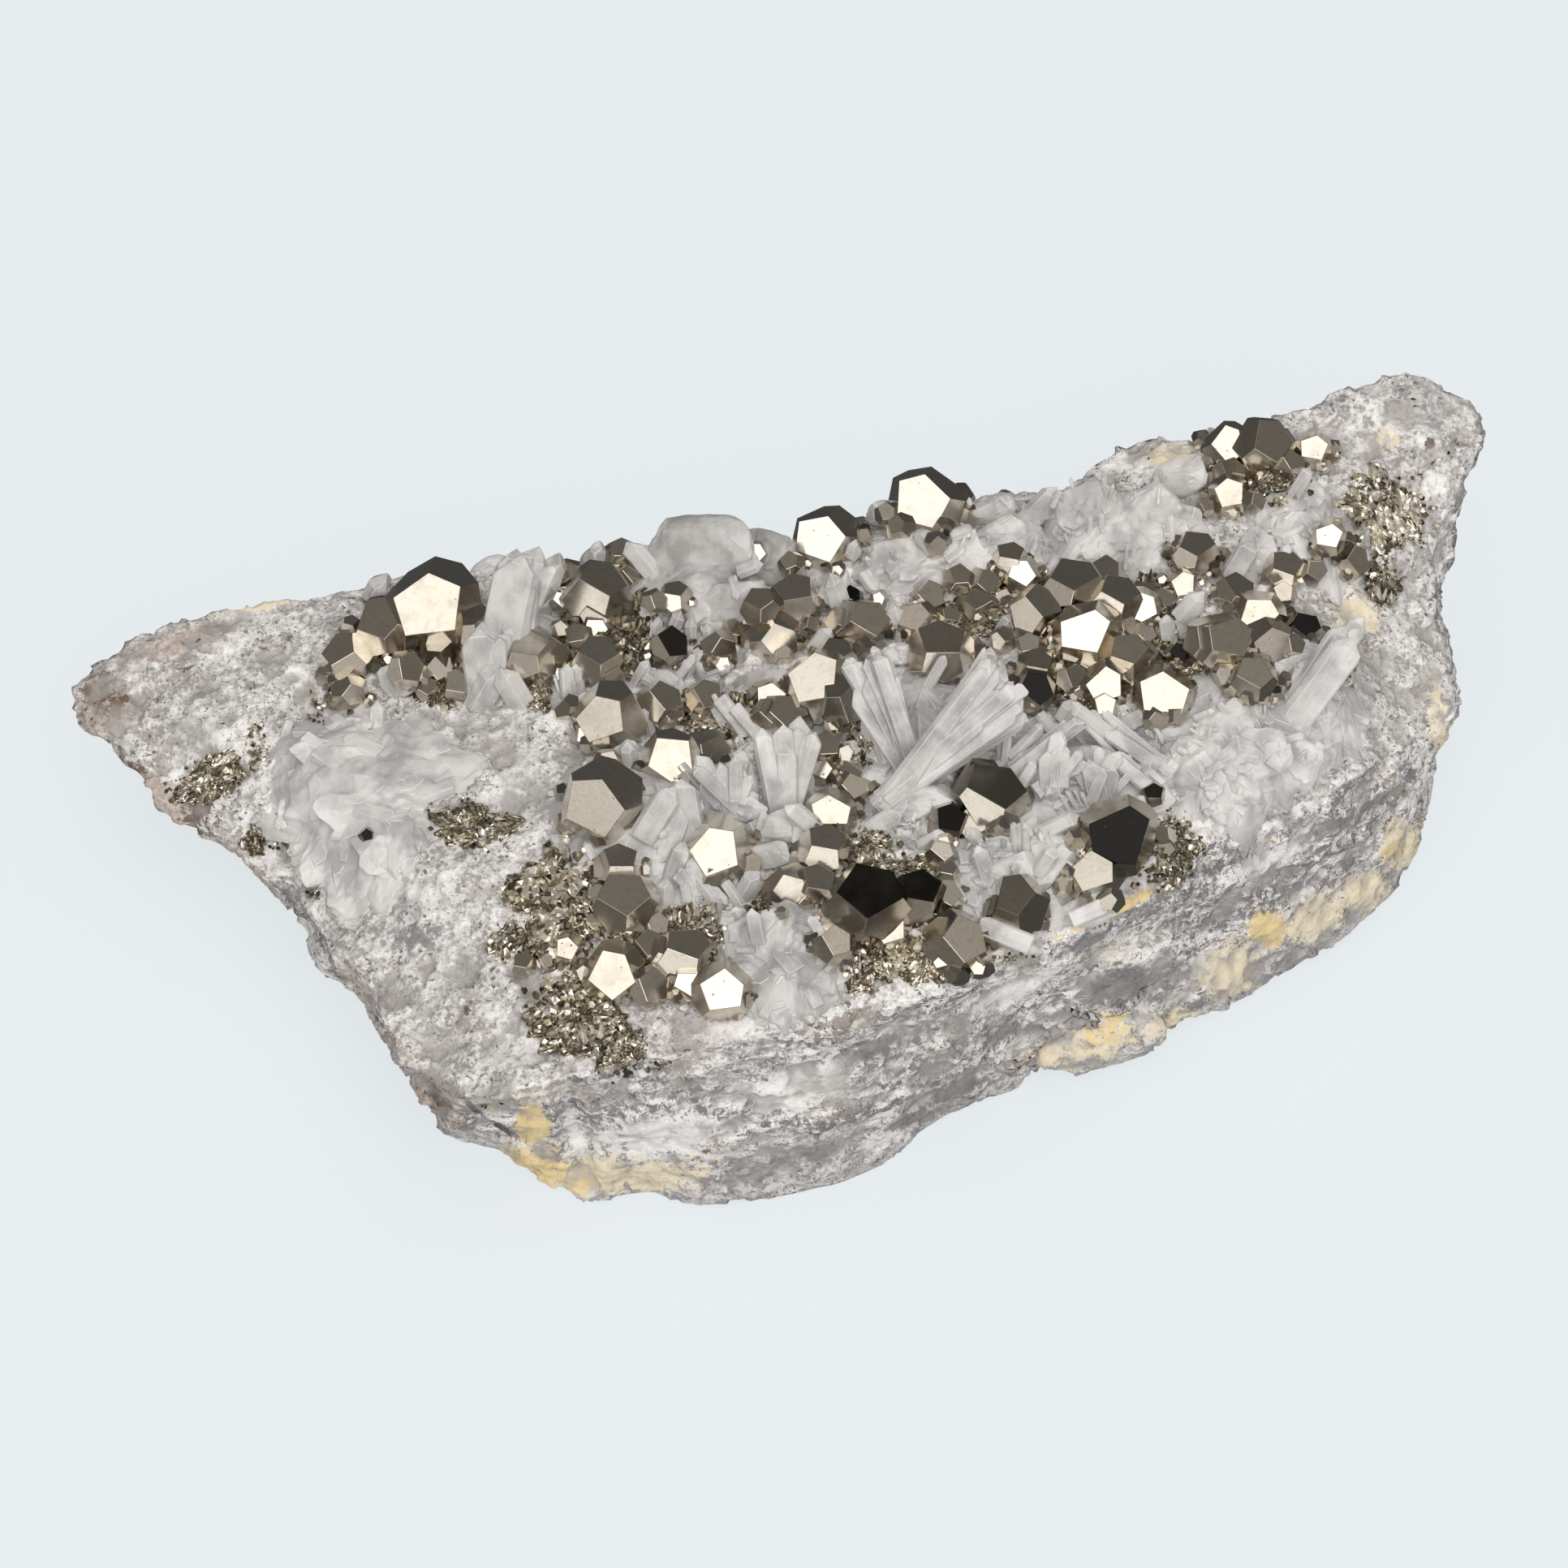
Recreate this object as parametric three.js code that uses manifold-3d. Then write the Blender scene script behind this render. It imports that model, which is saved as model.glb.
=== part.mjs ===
// A cabinet specimen of pyrite on quartz: a slab of altered, foliated granite with crusts and sprays of
// quartz prisms on top, and pyrite in twelve-faced crystals and granular patches.
// Millimetres, +Z up. The slab rests on its broken base. The origin is the middle of the base's box.

import * as THREE from "three";
import { mergeVertices } from "three/addons/utils/BufferGeometryUtils.js";
import Module from "manifold-3d";

const wasm = await Module();
wasm.setup();

// Driving dimensions, in millimetres and degrees
const VIEW_DISTANCE = 505; // from the eye to the middle of the picture
const VIEW_TILT = 45; // the eye looks down by this much
const VIEW_SPREAD = 0.36; // width of the picture at a distance of 1
const PICTURE = 1932; // width and height of the picture in its own dots
const GAP = 0.3; // between pieces that grew against each other

// The slab
const ROCK_CENTRE = [2, -17]; // in plan, the point that the outlines go around
const ROCK_DETAIL = 8;
const RIM_ROUNDING = 1;
const RIM_SHARPNESS = 24; // the rounding rises with this power of the way out to the rim
const RIM_BLEND = 0.8; // way out from which the top takes on the rim's own heights
const RIM_STEPS = 360; // pieces that the rim is measured in
const CAP_END = 0.08; // level on the ball that goes on the rim
const CAP_SNAP = 0.055; // points of the ball this near to that level go on the rim
const BELT_END = -0.66; // level on the ball that goes on the foot
const LEDGE_HEIGHT = 6.5; // thickness of one layer of the foliated rock
const LEDGE_DEPTH = 1.6;
const LEDGE_MIDDLE = 0.4; // share of the ledges' depth that lies inside the plain side
const LEDGE_WAVES = 16; // distance between the rises of the layers
const TOP_LUMPS = 0.5; // height of the lumps of the top
const TOP_WAVES = 9; // distance between them
const SIDE_LUMPS = 1.3;
const SIDE_WAVES = 7;
const SIDE_FLARE = 1.25; // the ledges and lumps fade out this much above the foot
const SURFACE_BLEND = 2.6; // how sharply the heights of the top follow the nearest one
const SEARCH_STEPS = 20; // to find where a line of sight meets the top
const NOISE_LEVEL = { broad: 0.5, fine: 7.5, ledge: 3.5, crust: 4.5 }; // a flat slice of the noise for each use

// Pyrite crystals
const FACE_REACH = 0.82; // of a face from the middle, against the reach of the corners
const FACE_SPREAD = 0.08; // of that reach from face to face
const DEFAULT_LIFT = 0.35; // height of a crystal's middle above the ground, in radii
const FOOT_SPOTS = 12; // around a crystal, where the ground under it is measured
const FOOT_REACH = 0.7; // how far out, in radii of the crystal
const FOOT_GAP = 0.4; // between the ground and the foot

// Crusts of quartz and grains of pyrite
const BED_SINK = 0.4; // how far the middle plane of a crust lies under the top
const BED_DETAIL = 1;
const BED_ROUGHNESS = 0.16;
const BED_WAVES = 5;
const GRAIN_BED = 1.6; // thickness of a granular patch
const GRAIN_ROUGHNESS = 0.3;
const CRUMB = 2; // cubic millimetres: smaller leftovers of a cut are dropped
const POINT_SLOPE = 51.8; // degrees between a prism's length and the line square to its end faces
const PRISM_SPREAD = 0.12; // of the sides of a prism from its middle line
const PRISM_ROLL = 0.15; // largest turn of a prism about its length, in radians
const PRISM_LIFT = { length: 0.12, width: 0.3 }; // height of its middle above the ground, against its size
const PRISM_END_SPREAD = 0.1; // of its end faces along its length

const DOTS_PER_MM = PICTURE / (VIEW_SPREAD * VIEW_DISTANCE);

// The rim of the top as [right, down, height]: a point of the picture and how high it lies
const RIM = [
  [100, 880, 20], [112, 840, 20], [135, 806, 21], [220, 773, 22], [330, 740, 23], [440, 725, 25], [500, 700, 26],
  [600, 702, 27], [690, 694, 28], [775, 664, 28], [850, 655, 29], [930, 655, 29], [1010, 650, 29],
  [1100, 634, 29], [1200, 622, 30], [1300, 606, 31], [1355, 578, 31], [1400, 552, 32], [1480, 542, 33],
  [1540, 530, 34], [1600, 506, 35], [1660, 474, 36], [1700, 458, 37], [1738, 448, 38], [1768, 456, 38],
  [1800, 478, 36], [1833, 512, 34], [1832, 560, 32], [1812, 615, 30], [1796, 680, 28], [1776, 735, 26],
  [1782, 790, 24], [1792, 850, 22], [1762, 903, 22], [1640, 963, 27], [1480, 1033, 29], [1440, 1083, 29],
  [1290, 1153, 30], [1200, 1193, 30], [1040, 1243, 29], [960, 1266, 28], [870, 1284, 27], [780, 1300, 26],
  [700, 1316, 25], [640, 1332, 23], [560, 1352, 21], [500, 1322, 20], [440, 1230, 20], [382, 1150, 19],
  [290, 1058, 18], [200, 998, 19], [148, 938, 19],
];

// The foot of the slab in the picture, at height 0, from the left to the right
const FOOT_FRONT = [
  [600, 1422], [640, 1443], [730, 1486], [795, 1468], [860, 1486], [950, 1477], [1020, 1463], [1080, 1441],
  [1170, 1371], [1250, 1340], [1340, 1318], [1420, 1290], [1450, 1262], [1520, 1241], [1650, 1171],
  [1720, 1105], [1746, 1040], [1762, 980], [1772, 925],
];
// The hidden part of the foot in plan, from the right to the left
const FOOT_BACK = [
  [75, 12], [73, 24], [60, 20], [42, 13], [22, 8], [0, 5], [-22, 2], [-42, -1], [-56, -8], [-56, -22],
  [-49, -34], [-41, -46],
];

// Heights of the top between the rims
const TOP = [
  [250, 880, 23], [420, 950, 25], [420, 1100, 23], [560, 1060, 27], [560, 1200, 23], [620, 1280, 23],
  [620, 900, 28], [760, 830, 29], [760, 1000, 30], [700, 1120, 29], [800, 1210, 26], [900, 1215, 27],
  [950, 1150, 30], [950, 950, 31], [1100, 1050, 33], [1100, 850, 32], [1100, 720, 31], [1300, 950, 32],
  [1300, 780, 33], [1300, 1080, 31], [1450, 950, 31], [1450, 780, 33], [1450, 640, 32], [1550, 560, 33],
  [1650, 850, 29], [1650, 650, 32], [1720, 720, 30], [1700, 550, 34],
];

// A tan lump low on the front: its place in the picture, height, and half sizes
const FRONT_LUMP = { at: [1348, 1272], height: 5, size: [8.2, 5.5, 4.4], turn: 14, detail: 2, roughness: 0.2 };

const GRANITE = new THREE.MeshStandardMaterial({ color: 0xb9b5b0, roughness: 0.92, metalness: 0 });
const QUARTZ = new THREE.MeshStandardMaterial({ color: 0xd2cec7, roughness: 0.28, metalness: 0 });
const PYRITE = new THREE.MeshStandardMaterial({ color: 0xcbbd9c, roughness: 0.22, metalness: 1 });
const GRAINS = new THREE.MeshStandardMaterial({ color: 0x8f7f58, roughness: 0.4, metalness: 0.9 });

// Repeatable random numbers from 0 to 1
function randomSource(seed) {
  let state = seed >>> 0;
  return () => {
    state = (state + 0x6d2b79f5) >>> 0;
    let mixed = Math.imul(state ^ (state >>> 15), state | 1);
    mixed ^= mixed + Math.imul(mixed ^ (mixed >>> 7), mixed | 61);
    return ((mixed ^ (mixed >>> 14)) >>> 0) / 4294967296;
  };
}

// Smooth noise from -1 to 1
function noise(x, y, z) {
  const cell = [Math.floor(x), Math.floor(y), Math.floor(z)];
  const part = [x - cell[0], y - cell[1], z - cell[2]].map((value) => value * value * (3 - 2 * value));
  let sum = 0;
  for (let corner = 0; corner < 8; corner += 1) {
    const step = [corner & 1, (corner >> 1) & 1, corner >> 2];
    const weight = step.reduce((product, on, axis) => product * (on ? part[axis] : 1 - part[axis]), 1);
    const key = step.reduce((total, on, axis) => Math.imul(total, 7919) + cell[axis] + on, 17);
    sum += weight * randomSource(key)();
  }
  return 2 * sum - 1;
}

// Directions of the picture
const tilt = THREE.MathUtils.degToRad(VIEW_TILT);
const VIEW_RIGHT = new THREE.Vector3(1, 0, 0);
const VIEW_UP = new THREE.Vector3(0, Math.sin(tilt), Math.cos(tilt));
const VIEW_BACK = new THREE.Vector3(0, -Math.cos(tilt), Math.sin(tilt));
const EYE = VIEW_BACK.clone().multiplyScalar(VIEW_DISTANCE);

// The point at a given height that lies behind a point of the picture
function photoPoint(right, down, height) {
  const aside = ((right - PICTURE / 2) / PICTURE) * VIEW_SPREAD;
  const above = ((PICTURE / 2 - down) / PICTURE) * VIEW_SPREAD;
  const ray = VIEW_BACK.clone().negate().addScaledVector(VIEW_RIGHT, aside).addScaledVector(VIEW_UP, above);
  return EYE.clone().addScaledVector(ray, (height - EYE.z) / ray.z);
}

// An outline around the slab's middle, as angle, distance and height, in order of angle
function aroundCentre(points) {
  return points
    .map((point) => {
      const x = point.x - ROCK_CENTRE[0];
      const y = point.y - ROCK_CENTRE[1];
      return { angle: Math.atan2(y, x), reach: Math.hypot(x, y), height: point.z };
    })
    .sort((a, b) => a.angle - b.angle);
}

// Distance and height of an outline at any angle
function outlineAt(outline, angle) {
  const turn = 2 * Math.PI;
  let next = outline.findIndex((point) => point.angle > angle);
  next = next < 0 ? 0 : next;
  const before = outline[(next + outline.length - 1) % outline.length];
  const after = outline[next];
  const gap = (after.angle - before.angle + turn) % turn;
  const share = ((angle - before.angle + turn) % turn) / gap;
  return {
    reach: THREE.MathUtils.lerp(before.reach, after.reach, share),
    height: THREE.MathUtils.lerp(before.height, after.height, share),
  };
}

const rimPoints = RIM.map(([right, down, height]) => photoPoint(right, down, height));
const rimOutline = aroundCentre(rimPoints);
const footOutline = aroundCentre([
  ...FOOT_FRONT.map(([right, down]) => photoPoint(right, down, 0)),
  ...FOOT_BACK.map(([x, y]) => new THREE.Vector3(x, y, 0)),
]);
const heightPoints = [...rimPoints, ...TOP.map(([right, down, height]) => photoPoint(right, down, height))];

// Height of the bare top at a place in plan
function topHeight(x, y) {
  let sum = 0;
  let weights = 0;
  for (const point of heightPoints) {
    const weight = 1 / (Math.hypot(point.x - x, point.y - y) + 1) ** SURFACE_BLEND;
    sum += point.z * weight;
    weights += weight;
  }
  const rim = outlineAt(rimOutline, Math.atan2(y - ROCK_CENTRE[1], x - ROCK_CENTRE[0]));
  const reach = Math.hypot(x - ROCK_CENTRE[0], y - ROCK_CENTRE[1]) / rim.reach;
  const edge = THREE.MathUtils.smoothstep(reach, RIM_BLEND, 1);
  const broad = noise(x / TOP_WAVES, y / TOP_WAVES, NOISE_LEVEL.broad);
  const fine = noise((2 * x) / TOP_WAVES, (2 * y) / TOP_WAVES, NOISE_LEVEL.fine);
  const height = THREE.MathUtils.lerp(sum / weights + TOP_LUMPS * (broad + fine / 2), rim.height, edge);
  return height - RIM_ROUNDING * Math.min(1, reach) ** RIM_SHARPNESS;
}

// The point behind a point of the picture on a surface whose height is known at each place in plan
function onSurface(right, down, heightAt, raised = 0) {
  let height = rimPoints[0].z;
  for (let step = 0; step < SEARCH_STEPS; step += 1) {
    const point = photoPoint(right, down, height);
    height = (height + heightAt(point.x, point.y) + raised) / 2;
  }
  return photoPoint(right, down, height);
}

// Angles around the slab that follow each other at even distances along the rim
function evenAngles(count) {
  const angles = Array.from({ length: count + 1 }, (_, index) => (2 * Math.PI * index) / count - Math.PI);
  const places = angles.map((angle) => {
    const { reach } = outlineAt(rimOutline, angle);
    return new THREE.Vector2(Math.cos(angle) * reach, Math.sin(angle) * reach);
  });
  const lengths = places.map((place, index) => (index ? place.distanceTo(places[index - 1]) : 0));
  const travelled = lengths.map((_, index) => lengths.slice(0, index + 1).reduce((sum, step) => sum + step, 0));
  return { angles, travelled };
}

const rimWalk = evenAngles(RIM_STEPS);

// The angle that lies at a share of the way around the rim, where the ball has its own angle
function angleOnRim(ballAngle) {
  const wanted = ((ballAngle + Math.PI) / (2 * Math.PI)) * rimWalk.travelled[RIM_STEPS];
  const after = Math.max(1, rimWalk.travelled.findIndex((length) => length >= wanted));
  const part = (wanted - rimWalk.travelled[after - 1]) / (rimWalk.travelled[after] - rimWalk.travelled[after - 1]);
  return THREE.MathUtils.lerp(rimWalk.angles[after - 1], rimWalk.angles[after], part);
}

// A place at a distance from the slab's middle
function fromCentre(angle, reach, height) {
  const x = ROCK_CENTRE[0] + Math.cos(angle) * reach;
  const y = ROCK_CENTRE[1] + Math.sin(angle) * reach;
  return new THREE.Vector3(x, y, height);
}

// A place on the broken sides, where thin layers end in ledges. The way down goes from 0 to 1.
function sidePoint(angle, down) {
  const rim = outlineAt(rimOutline, angle);
  const foot = outlineAt(footOutline, angle);
  const height = (rim.height - RIM_ROUNDING) * (1 - down);
  const middle = THREE.MathUtils.lerp(rim.reach, foot.reach, down);
  const { x, y } = fromCentre(angle, middle, height);
  const layer = height / LEDGE_HEIGHT + noise(x / LEDGE_WAVES, y / LEDGE_WAVES, NOISE_LEVEL.ledge) / 2;
  const ledge = LEDGE_DEPTH * ((layer - Math.floor(layer)) ** 2 - LEDGE_MIDDLE);
  const lumps = SIDE_LUMPS * noise(x / SIDE_WAVES, y / SIDE_WAVES, height / SIDE_WAVES);
  const fade = Math.sqrt(Math.sin(Math.PI * Math.min(1, down * SIDE_FLARE)));
  return fromCentre(angle, middle + (ledge + lumps) * fade, height);
}

// Where a point of a ball goes on the slab: the cap to the top, the belt to the sides, the rest to the base
function rockPoint(ballPoint) {
  const angle = angleOnRim(Math.atan2(ballPoint.y, ballPoint.x));
  const level = Math.abs(ballPoint.z - CAP_END) < CAP_SNAP ? CAP_END : ballPoint.z;
  if (level >= CAP_END) {
    const share = Math.sqrt((1 - level) / (1 - CAP_END));
    const place = fromCentre(angle, outlineAt(rimOutline, angle).reach * share, 0);
    return place.setZ(topHeight(place.x, place.y));
  }
  if (level > BELT_END) {
    return sidePoint(angle, (CAP_END - level) / (CAP_END - BELT_END));
  }
  const share = Math.sqrt((1 + level) / (1 + BELT_END));
  return fromCentre(angle, outlineAt(footOutline, angle).reach * share, 0);
}

// A closed geometry with only positions and shared corners
function bare(geometry) {
  geometry.deleteAttribute("normal");
  geometry.deleteAttribute("uv");
  return mergeVertices(geometry, 1e-4);
}

function solidOf(geometry) {
  const shell = bare(geometry);
  return new wasm.Manifold(
    new wasm.Mesh({
      numProp: 3,
      vertProperties: new Float32Array(shell.attributes.position.array),
      triVerts: new Uint32Array(shell.index.array),
    }),
  );
}

function geometryOf(solid) {
  const mesh = solid.getMesh();
  const geometry = new THREE.BufferGeometry();
  geometry.setAttribute("position", new THREE.BufferAttribute(new Float32Array(mesh.vertProperties), 3));
  geometry.setIndex(new THREE.BufferAttribute(new Uint32Array(mesh.triVerts), 1));
  return geometry;
}

// The largest of the bodies that a cut leaves
function largest(solid) {
  const bodies = solid.decompose();
  return bodies.reduce((best, body) => (body.volume() > best.volume() ? body : best));
}

// A joined or cut solid worked out to its plain mesh
function settled(solid) {
  return new wasm.Manifold(solid.getMesh());
}

// The slab, swollen by a margin so that what grows on it can be cut clear of it
function rockSolid(margin) {
  const ball = bare(new THREE.IcosahedronGeometry(1, ROCK_DETAIL));
  const position = ball.attributes.position;
  for (let index = 0; index < position.count; index += 1) {
    const place = rockPoint(new THREE.Vector3().fromBufferAttribute(position, index).normalize());
    position.setXYZ(index, place.x, place.y, place.z);
  }
  if (margin > 0) {
    ball.computeVertexNormals();
    const normal = ball.attributes.normal;
    for (let index = 0; index < position.count; index += 1) {
      position.setXYZ(
        index,
        position.getX(index) + normal.getX(index) * margin,
        position.getY(index) + normal.getY(index) * margin,
        position.getZ(index) + normal.getZ(index) * margin,
      );
    }
  }
  return solidOf(ball);
}

// A rounded, knobbly lump
function lumpSolid(centre, { size, turn, detail, roughness }) {
  const lump = bare(new THREE.IcosahedronGeometry(1, detail));
  const position = lump.attributes.position;
  for (let index = 0; index < position.count; index += 1) {
    const point = new THREE.Vector3().fromBufferAttribute(position, index);
    const swell = 1 + roughness * noise(point.x * 2, point.y * 2, point.z * 2);
    point.multiplyScalar(swell).multiply(new THREE.Vector3(...size));
    point.applyAxisAngle(new THREE.Vector3(0, 0, 1), THREE.MathUtils.degToRad(turn)).add(centre);
    position.setXYZ(index, point.x, point.y, point.z);
  }
  return solidOf(lump);
}

function graniteSlab() {
  const lump = lumpSolid(photoPoint(...FRONT_LUMP.at, FRONT_LUMP.height), FRONT_LUMP);
  return largest(rockSolid(0).add(lump.trimByPlane([0, 0, 1], 0)));
}

const slab = graniteSlab();
const slabWithGap = rockSolid(GAP);

// A convex crystal inside a set of planes, each an outward direction and its distance
function crystalSolid(planes, room, turnInto) {
  let solid = solidOf(new THREE.BoxGeometry(room, room, room));
  for (const { direction, distance } of planes) {
    solid = solid.trimByPlane([-direction.x, -direction.y, -direction.z], -distance);
  }
  return solid.transform(new THREE.Matrix4().makeBasis(...turnInto).toArray());
}

// The three directions of a crystal whose front face looks at the eye, turned right and raised by degrees,
// with its point towards a direction of the picture, in degrees from the right
function facing(turned, raised, spin) {
  const side = THREE.MathUtils.degToRad(turned);
  const rise = THREE.MathUtils.degToRad(raised);
  const front = VIEW_BACK.clone()
    .multiplyScalar(Math.cos(side) * Math.cos(rise))
    .addScaledVector(VIEW_RIGHT, Math.sin(side) * Math.cos(rise))
    .addScaledVector(VIEW_UP, Math.sin(rise));
  const angle = THREE.MathUtils.degToRad(spin);
  const point = VIEW_RIGHT.clone().multiplyScalar(Math.cos(angle)).addScaledVector(VIEW_UP, Math.sin(angle));
  point.addScaledVector(front, -point.dot(front)).normalize();
  return [point, front.clone().cross(point), front];
}

// The twelve faces of a pyritohedron, the first one at the front with its point to the right
function pyritohedronPlanes(reach, random, margin) {
  const front = new THREE.Vector3(1, 0, 2).normalize();
  const point = new THREE.Vector3(2, 0, -1).normalize();
  const aside = front.clone().cross(point);
  const planes = [];
  for (const first of [-1, 1]) {
    for (const second of [-2, 2]) {
      for (const place of [[first, 0, second], [second, first, 0], [0, second, first]]) {
        const normal = new THREE.Vector3(...place).normalize();
        const direction = new THREE.Vector3(normal.dot(point), normal.dot(aside), normal.dot(front));
        const spread = 1 + FACE_SPREAD * (2 * random() - 1);
        planes.push({ direction, distance: reach * FACE_REACH * spread + margin });
      }
    }
  }
  return planes;
}

// The plane that a crystal stands on, as the direction up from it and its distance from the crystal's middle:
// it follows the slope of the ground and clears its lumps
function footPlane(centre, reach) {
  const spots = [];
  for (let step = 0; step < FOOT_SPOTS; step += 1) {
    const angle = (2 * Math.PI * step) / FOOT_SPOTS;
    const aside = Math.cos(angle) * reach * FOOT_REACH;
    const along = Math.sin(angle) * reach * FOOT_REACH;
    spots.push(new THREE.Vector3(aside, along, groundHeight(centre.x + aside, centre.y + along) - centre.z));
  }
  const share = 2 / (FOOT_SPOTS * (reach * FOOT_REACH) ** 2);
  const slope = new THREE.Vector2(0, 0);
  for (const spot of spots) {
    slope.add(new THREE.Vector2(spot.x * spot.z * share, spot.y * spot.z * share));
  }
  const direction = new THREE.Vector3(-slope.x, -slope.y, 1).normalize();
  const distance = spots.reduce((most, spot) => Math.max(most, spot.dot(direction)), -reach) + FOOT_GAP;
  return { direction, distance };
}

// One pyrite crystal from its place, size and stance: [right, down, radius in dots, turned, raised, spin,
// height of its middle above the ground in radii]
function pyriteCrystal([right, down, radius, turned, raised, spin, lift = DEFAULT_LIFT], margin) {
  const reach = radius / DOTS_PER_MM;
  const random = randomSource(right * 31 + down);
  const centre = onGround(right, down, reach * lift);
  const whole = crystalSolid(pyritohedronPlanes(reach, random, margin), reach * 4, facing(turned, raised, spin));
  const { direction, distance } = footPlane(centre, reach);
  return whole.trimByPlane(direction.toArray(), distance).translate(centre.toArray());
}

// Pyrite crystals, by where they sit. The first of each list gives the group its main crystal.
const PYRITE_CRYSTALS = {
  back_left: [
    [540, 752, 58, -6, 6, 90, 0.55], [478, 776, 40, -14, 30, 70, 0.5], [430, 812, 37, -24, 38, 120, 0.4],
    [585, 772, 40, 36, 4, 20, 0.5], [500, 826, 26, 30, 10, 10, 0.3],
  ],
  left_of_centre: [[660, 808, 34, -10, 42, 80]],
  back_ridge: [[737, 735, 50, 12, 34, 60, 0.5], [766, 686, 26, 6, 32, 90], [738, 816, 34, -6, 40, 60]],
  dark_knob: [[825, 800, 26, 24, 28, 30]],
  centre_back: [[978, 742, 34, 4, 40, 100, 0.5], [940, 750, 27, -18, 36, 60], [956, 786, 33, 10, -10, 40]],
  back_edge: [[1014, 664, 44, -8, 2, 85, 0.4]],
  back_pentagon: [[1142, 624, 50, 2, 4, 75, 0.45]],
  centre_grey: [[1060, 770, 36, 20, 16, 60]],
  centre_left: [[752, 886, 44, -16, 34, 70, 0.5], [812, 868, 32, 22, 30, 40], [870, 866, 27, 14, 26, 100]],
  centre_left_pentagon: [[826, 935, 36, 0, 2, 265, 0.45], [868, 928, 30, 32, 4, 10, 0.35]],
  centre_dark: [[965, 884, 30, 18, 24, 120]],
  centre_long: [[1014, 852, 52, -10, 36, 100, 0.55], [1044, 866, 34, 34, -2, 20, 0.4]],
  fan_top: [[1160, 806, 42, 0, 40, 90, 0.5]],
  ridge_right: [
    [1342, 775, 52, -6, 2, 80, 0.45], [1372, 742, 36, 14, 40, 60, 0.6], [1278, 756, 35, 22, 30, 40],
    [1258, 708, 26, -4, 6, 60],
  ],
  ridge_back: [[1130, 765, 26, -14, 16, 70]],
  ridge_bright: [[1405, 750, 27, -6, 4, 40], [1470, 684, 31, 6, 38, 60, 0.5]],
  ridge_front: [[1392, 812, 32, -8, 30, 70], [1362, 845, 30, -4, -2, 30]],
  striated_pentagon: [[1434, 856, 37, -4, 0, 85, 0.4]],
  ridge_black: [[1276, 855, 28, 28, 34, 50]],
  right_group: [
    [1506, 795, 40, 18, 14, 80, 0.45], [1548, 760, 35, -2, 4, 60, 0.5], [1522, 732, 26, 16, 38, 30],
    [1562, 796, 33, 12, -6, 100], [1544, 838, 31, -8, 26, 60],
  ],
  top_right: [
    [1555, 552, 41, 22, 14, 60, 0.5], [1511, 550, 31, -6, 2, 40, 0.45], [1618, 556, 26, -2, 6, 80],
    [1514, 613, 28, -2, 2, 100],
  ],
  front_left_large: [[742, 986, 52, -14, 26, 120, 0.5]],
  front_pentagon: [[886, 1044, 40, -2, 0, 110, 0.45], [900, 1062, 28, 36, 6, 30]],
  left_front: [[775, 1112, 38, -6, 30, 60, 0.5], [765, 1070, 29, 6, 42, 90, 0.5]],
  front_smoky: [[762, 1192, 44, -18, -8, 50, 0.4], [845, 1180, 34, 12, 36, 70]],
  front_bar: [[892, 1222, 34, 2, 2, 20, 0.3]],
  middle_pentagon: [[1026, 1002, 31, -4, 2, 90]],
  middle_dark: [[1015, 1050, 32, 6, 40, 80, 0.4]],
  tan_block: [[974, 1096, 31, 6, -8, 45], [1006, 1090, 26, 20, 30, 80]],
  front_black: [
    [1070, 1110, 50, 10, 40, 50, 0.5], [1130, 1106, 36, 20, 36, 80, 0.45], [1180, 1160, 40, 16, 10, 40, 0.3],
  ],
  fan_front: [[1222, 985, 44, 14, 36, 60, 0.5], [1170, 1016, 26, 18, 38, 80]],
  front_right_bumpy: [[1255, 1114, 35, -14, 24, 70, 0.4]],
  front_right_black: [[1378, 1034, 46, 6, 28, 85, 0.5], [1345, 1066, 38, 16, 18, 30, 0.3]],
};

// Granular pyrite: the middle, half sizes in dots and turn of each patch
const PYRITE_GRAINS = {
  far_left: [[262, 960, 48, 22, 12]],
  front_left: [[690, 1100, 54, 44, 50]],
  front_middle: [[845, 1160, 40, 34, 10]],
  front_left_low: [[712, 1262, 58, 36, -30]],
  front_right: [[1080, 1180, 56, 30, 8]],
  right_rim: [[1440, 1050, 40, 28, 50]],
  right_back: [[1705, 630, 44, 40, 30]],
};

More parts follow.
